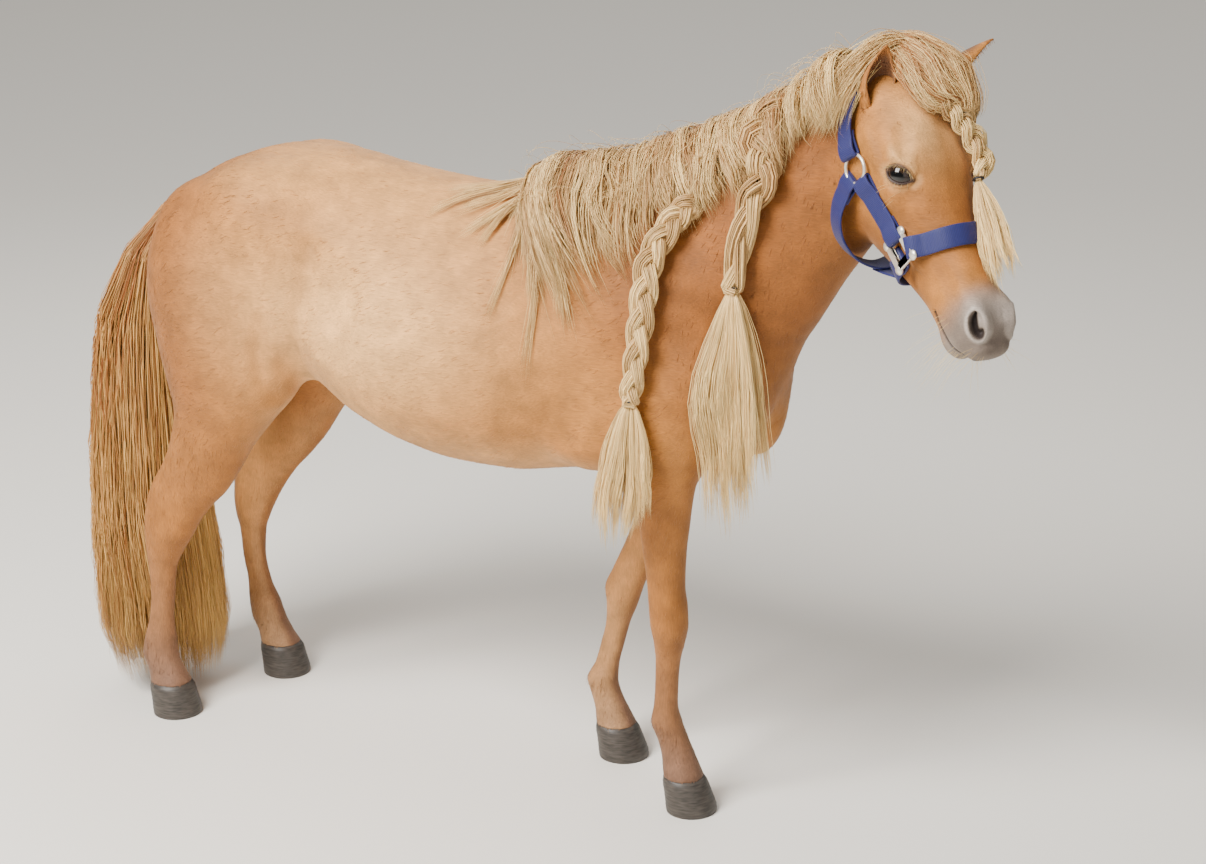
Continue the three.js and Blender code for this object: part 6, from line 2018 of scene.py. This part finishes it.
class PONY_OT_forelock(bpy.types.Operator):
    """Makes the forelock, its plait, tie and tassel"""

    bl_idname = "pony.forelock"
    bl_label = "Forelock"

    def execute(self, context):
        dice, count = np.random.default_rng(61), context.scene.pony_hair.forelock_hairs
        belongs(make_forelock(dice, count, "forelock_locks", 0), "long_hair", "forelock")
        belongs(make_forelock(dice, 160, "forelock_wisps", 0.35), "long_hair")
        line = forelock_line()
        plait = make_plait(dice, "plait_forelock", line, FORELOCK_WIDTH, 6, HEAD_UP, 45, 0.5)
        belongs(plait, "long_hair")
        along = unit([0.35, -0.4, -0.85])
        tie = tie_ring("band_forelock", line[-1], along, 6.4, 1.6, BODY["elastic"])
        belongs(tie, "tie", "tie_forelock")
        tassel = make_tassel(
            dice, "tassel_forelock", line[-1] - 3 * along, in_head(326, 16, 6), (54, 20), 420, (0.75, 0.12),
            (1.0, 1.7), HEAD_UP, 14, False,
        )
        belongs(tassel, "long_hair")
        return {"FINISHED"}


class PONY_OT_halter(bpy.types.Operator):
    """Makes the straps of the halter and its metal"""

    bl_idname = "pony.halter"
    bl_label = "Halter"

    def execute(self, context):
        settings = context.scene.pony_halter
        webbing = webbing_material(settings.webbing)
        metal = plain_material("cast_metal", settings.metal, 0.34, 0.7)
        width, thick = settings.width * 1000, settings.thick * 1000
        lift = 4.4

        def strap(name, node, path, inside, steps, ends=(), narrower=0):
            """A strap whose path, if it has ends, starts and stops in the middle of a ring or fitting."""
            if ends:
                path[0], path[-1] = ends[0][0], ends[1][0]
            band = make_band(name, path, inside, width - narrower, thick, webbing, steps, ends)
            belongs(band, "webbing", f"halter_{node}")

        wires, bars = [], []
        for side, hand in SIDES.items():
            ring = lay_on_side(*RING, hand, 6)
            wire = turned_ring(f"ring_{side}", ring, RING_RADIUS, WIRE, metal, 14, 48)
            belongs(wire, "halter_metal", f"halter_ring_{side}")
            belongs(make_fitting(f"square_{side}", hand, metal), "halter_metal", f"halter_fitting_{side}")
            wires.append((side_place(*RING, hand, lift), RING_RADIUS))
            bars.append((side_place(*FITTING, hand, lift), FITTING_REACH))
        nose = around_head([(214, 190)] + whole_band(NOSE_HALF) + [(214, -10)], -62, lift)
        strap("nose_strap", "noseband", *nose, 90, bars)
        chin, inside = around_head(CHIN_HALF + [(s, 540 - turn) for s, turn in CHIN_HALF[-2::-1]], -62, lift)
        strap("chin_band", "chin_strap", np.concatenate([chin[:1], chin, chin[-1:]]), inside, 90, bars)
        strap("crown_band", "crownpiece", *around_head(whole_band(CROWN_HALF), -76, 6.5), 130, wires)
        for n, (side, hand) in enumerate(SIDES.items()):
            cheek = np.array([side_place(s, u, hand, lift) for s, u in CHEEK])
            ends = (wires[n], bars[n])
            strap(f"cheek_band_{side}", f"cheekpiece_{side}", cheek, in_head(148, -72, 0), 70, ends)
        places = THROAT_HALF + [(s, u, -v) for s, u, v in THROAT_HALF[-2::-1]]
        throat = np.array([in_head(*place) for place in places])
        strap("throat_band", "throat_strap", throat, in_head(110, -95, 0), 120, wires)
        jaw = np.array([in_head(188, -186.5, 0), in_head(204, -168, 0), in_head(219, -148, 0)])
        strap("jaw_band", "jaw_strap", jaw, in_head(196, -60, 0), 40, narrower=5)
        return {"FINISHED"}


class PONY_OT_stage(bpy.types.Operator):
    """Makes the pale floor, the lamps and the camera"""

    bl_idname = "pony.stage"
    bl_label = "Stage"

    def execute(self, context):
        settings = context.scene.pony_stage
        ground = bmesh.new()
        bmesh.ops.create_grid(ground, x_segments=1, y_segments=1, size=settings.floor_reach)
        floor = object_of("studio_floor", ground)
        floor.data.materials.append(plain_material("studio_paper", settings.floor, 0.9))
        lamps = (
            ("key_lamp", (-0.9, -2.5, 3.1), (0.0, 0.0, 0.6), 1.8, settings.key_light),
            ("fill_lamp", (2.9, -2.2, 1.6), (0.2, 0.0, 0.6), 2.4, settings.fill_light),
            ("rim_lamp", (-1.4, 2.4, 2.4), (0.0, 0.0, 0.7), 1.8, settings.fill_light),
            ("ceiling_lamp", (-2.0, 7.0, 10.0), (-2.0, 6.9, 0.0), 16, settings.ceiling_light),
        )
        for name, spot, aim, size, power in lamps:
            light = bpy.data.lights.new(name, "AREA")
            light.energy = power
            light.size = size
            light.color = (1.0, 0.965, 0.92)
            lamp = new_object(name, light)
            lamp.location = spot
            lamp.rotation_euler = (Vector(aim) - Vector(spot)).to_track_quat("-Z", "Y").to_euler()
        world = bpy.data.worlds.new("studio")
        world.use_nodes = True
        fill(world.node_tree.nodes["Background"], Color=(1.0, 0.98, 0.95, 1), Strength=0.22)
        context.scene.world = world
        add_camera(context.scene)
        return {"FINISHED"}


# Where the photograph was taken from: place, turn about Z, look down, roll, focal length in picture widths
CAMERA_PLACE = (1709.7, -3049.0, 1585.0)
CAMERA_TURN, CAMERA_DOWN, CAMERA_ROLL = 25.0, 17.37, 0.0121
FOCAL_WIDTHS = 2430 / 1206


def add_camera(scene):
    lens = bpy.data.cameras.new("photo_view")
    lens.sensor_fit = "HORIZONTAL"
    lens.sensor_width = 36
    lens.lens = 36 * FOCAL_WIDTHS
    camera = new_object("photo_view", lens)
    turn = Matrix.Rotation(math.radians(CAMERA_TURN), 4, "Z")
    pitch = Matrix.Rotation(math.radians(90 - CAMERA_DOWN), 4, "X")
    roll = Matrix.Rotation(CAMERA_ROLL, 4, "Z")
    camera.matrix_world = moved_to(CAMERA_PLACE) @ turn @ pitch @ roll
    scene.camera = camera


OPERATORS = (
    PONY_OT_stage, PONY_OT_skin, PONY_OT_eyes, PONY_OT_hooves, PONY_OT_coat, PONY_OT_tail, PONY_OT_mane,
    PONY_OT_plaits, PONY_OT_forelock, PONY_OT_halter,
)


class PONY_PT_build(bpy.types.Panel):
    """Lists the pieces of the pony"""

    bl_label = "Shetland pony"
    bl_idname = "PONY_PT_build"
    bl_space_type = "VIEW_3D"
    bl_region_type = "UI"
    bl_category = "Pony"

    def draw(self, context):
        for operator in OPERATORS:
            self.layout.operator(operator.bl_idname)
        for name, group in GROUPS.items():
            box = self.layout.box()
            for setting in group.__annotations__:
                box.prop(getattr(context.scene, name), setting)


def register():
    for group in GROUPS.values():
        bpy.utils.register_class(group)
    for name, group in GROUPS.items():
        setattr(bpy.types.Scene, name, bpy.props.PointerProperty(type=group))
    for operator in (*OPERATORS, PONY_PT_build):
        bpy.utils.register_class(operator)


def unregister():
    for operator in reversed((*OPERATORS, PONY_PT_build)):
        bpy.utils.unregister_class(operator)
    for name in GROUPS:
        delattr(bpy.types.Scene, name)
    for group in reversed(list(GROUPS.values())):
        bpy.utils.unregister_class(group)


def main():
    register()
    bpy.ops.pony.stage()
    bpy.ops.pony.skin()
    bpy.ops.pony.eyes()
    bpy.ops.pony.hooves()
    bpy.ops.pony.coat()
    bpy.ops.pony.tail()
    bpy.ops.pony.mane()
    bpy.ops.pony.plaits()
    bpy.ops.pony.forelock()
    bpy.ops.pony.halter()


if __name__ == "__main__":
    main()
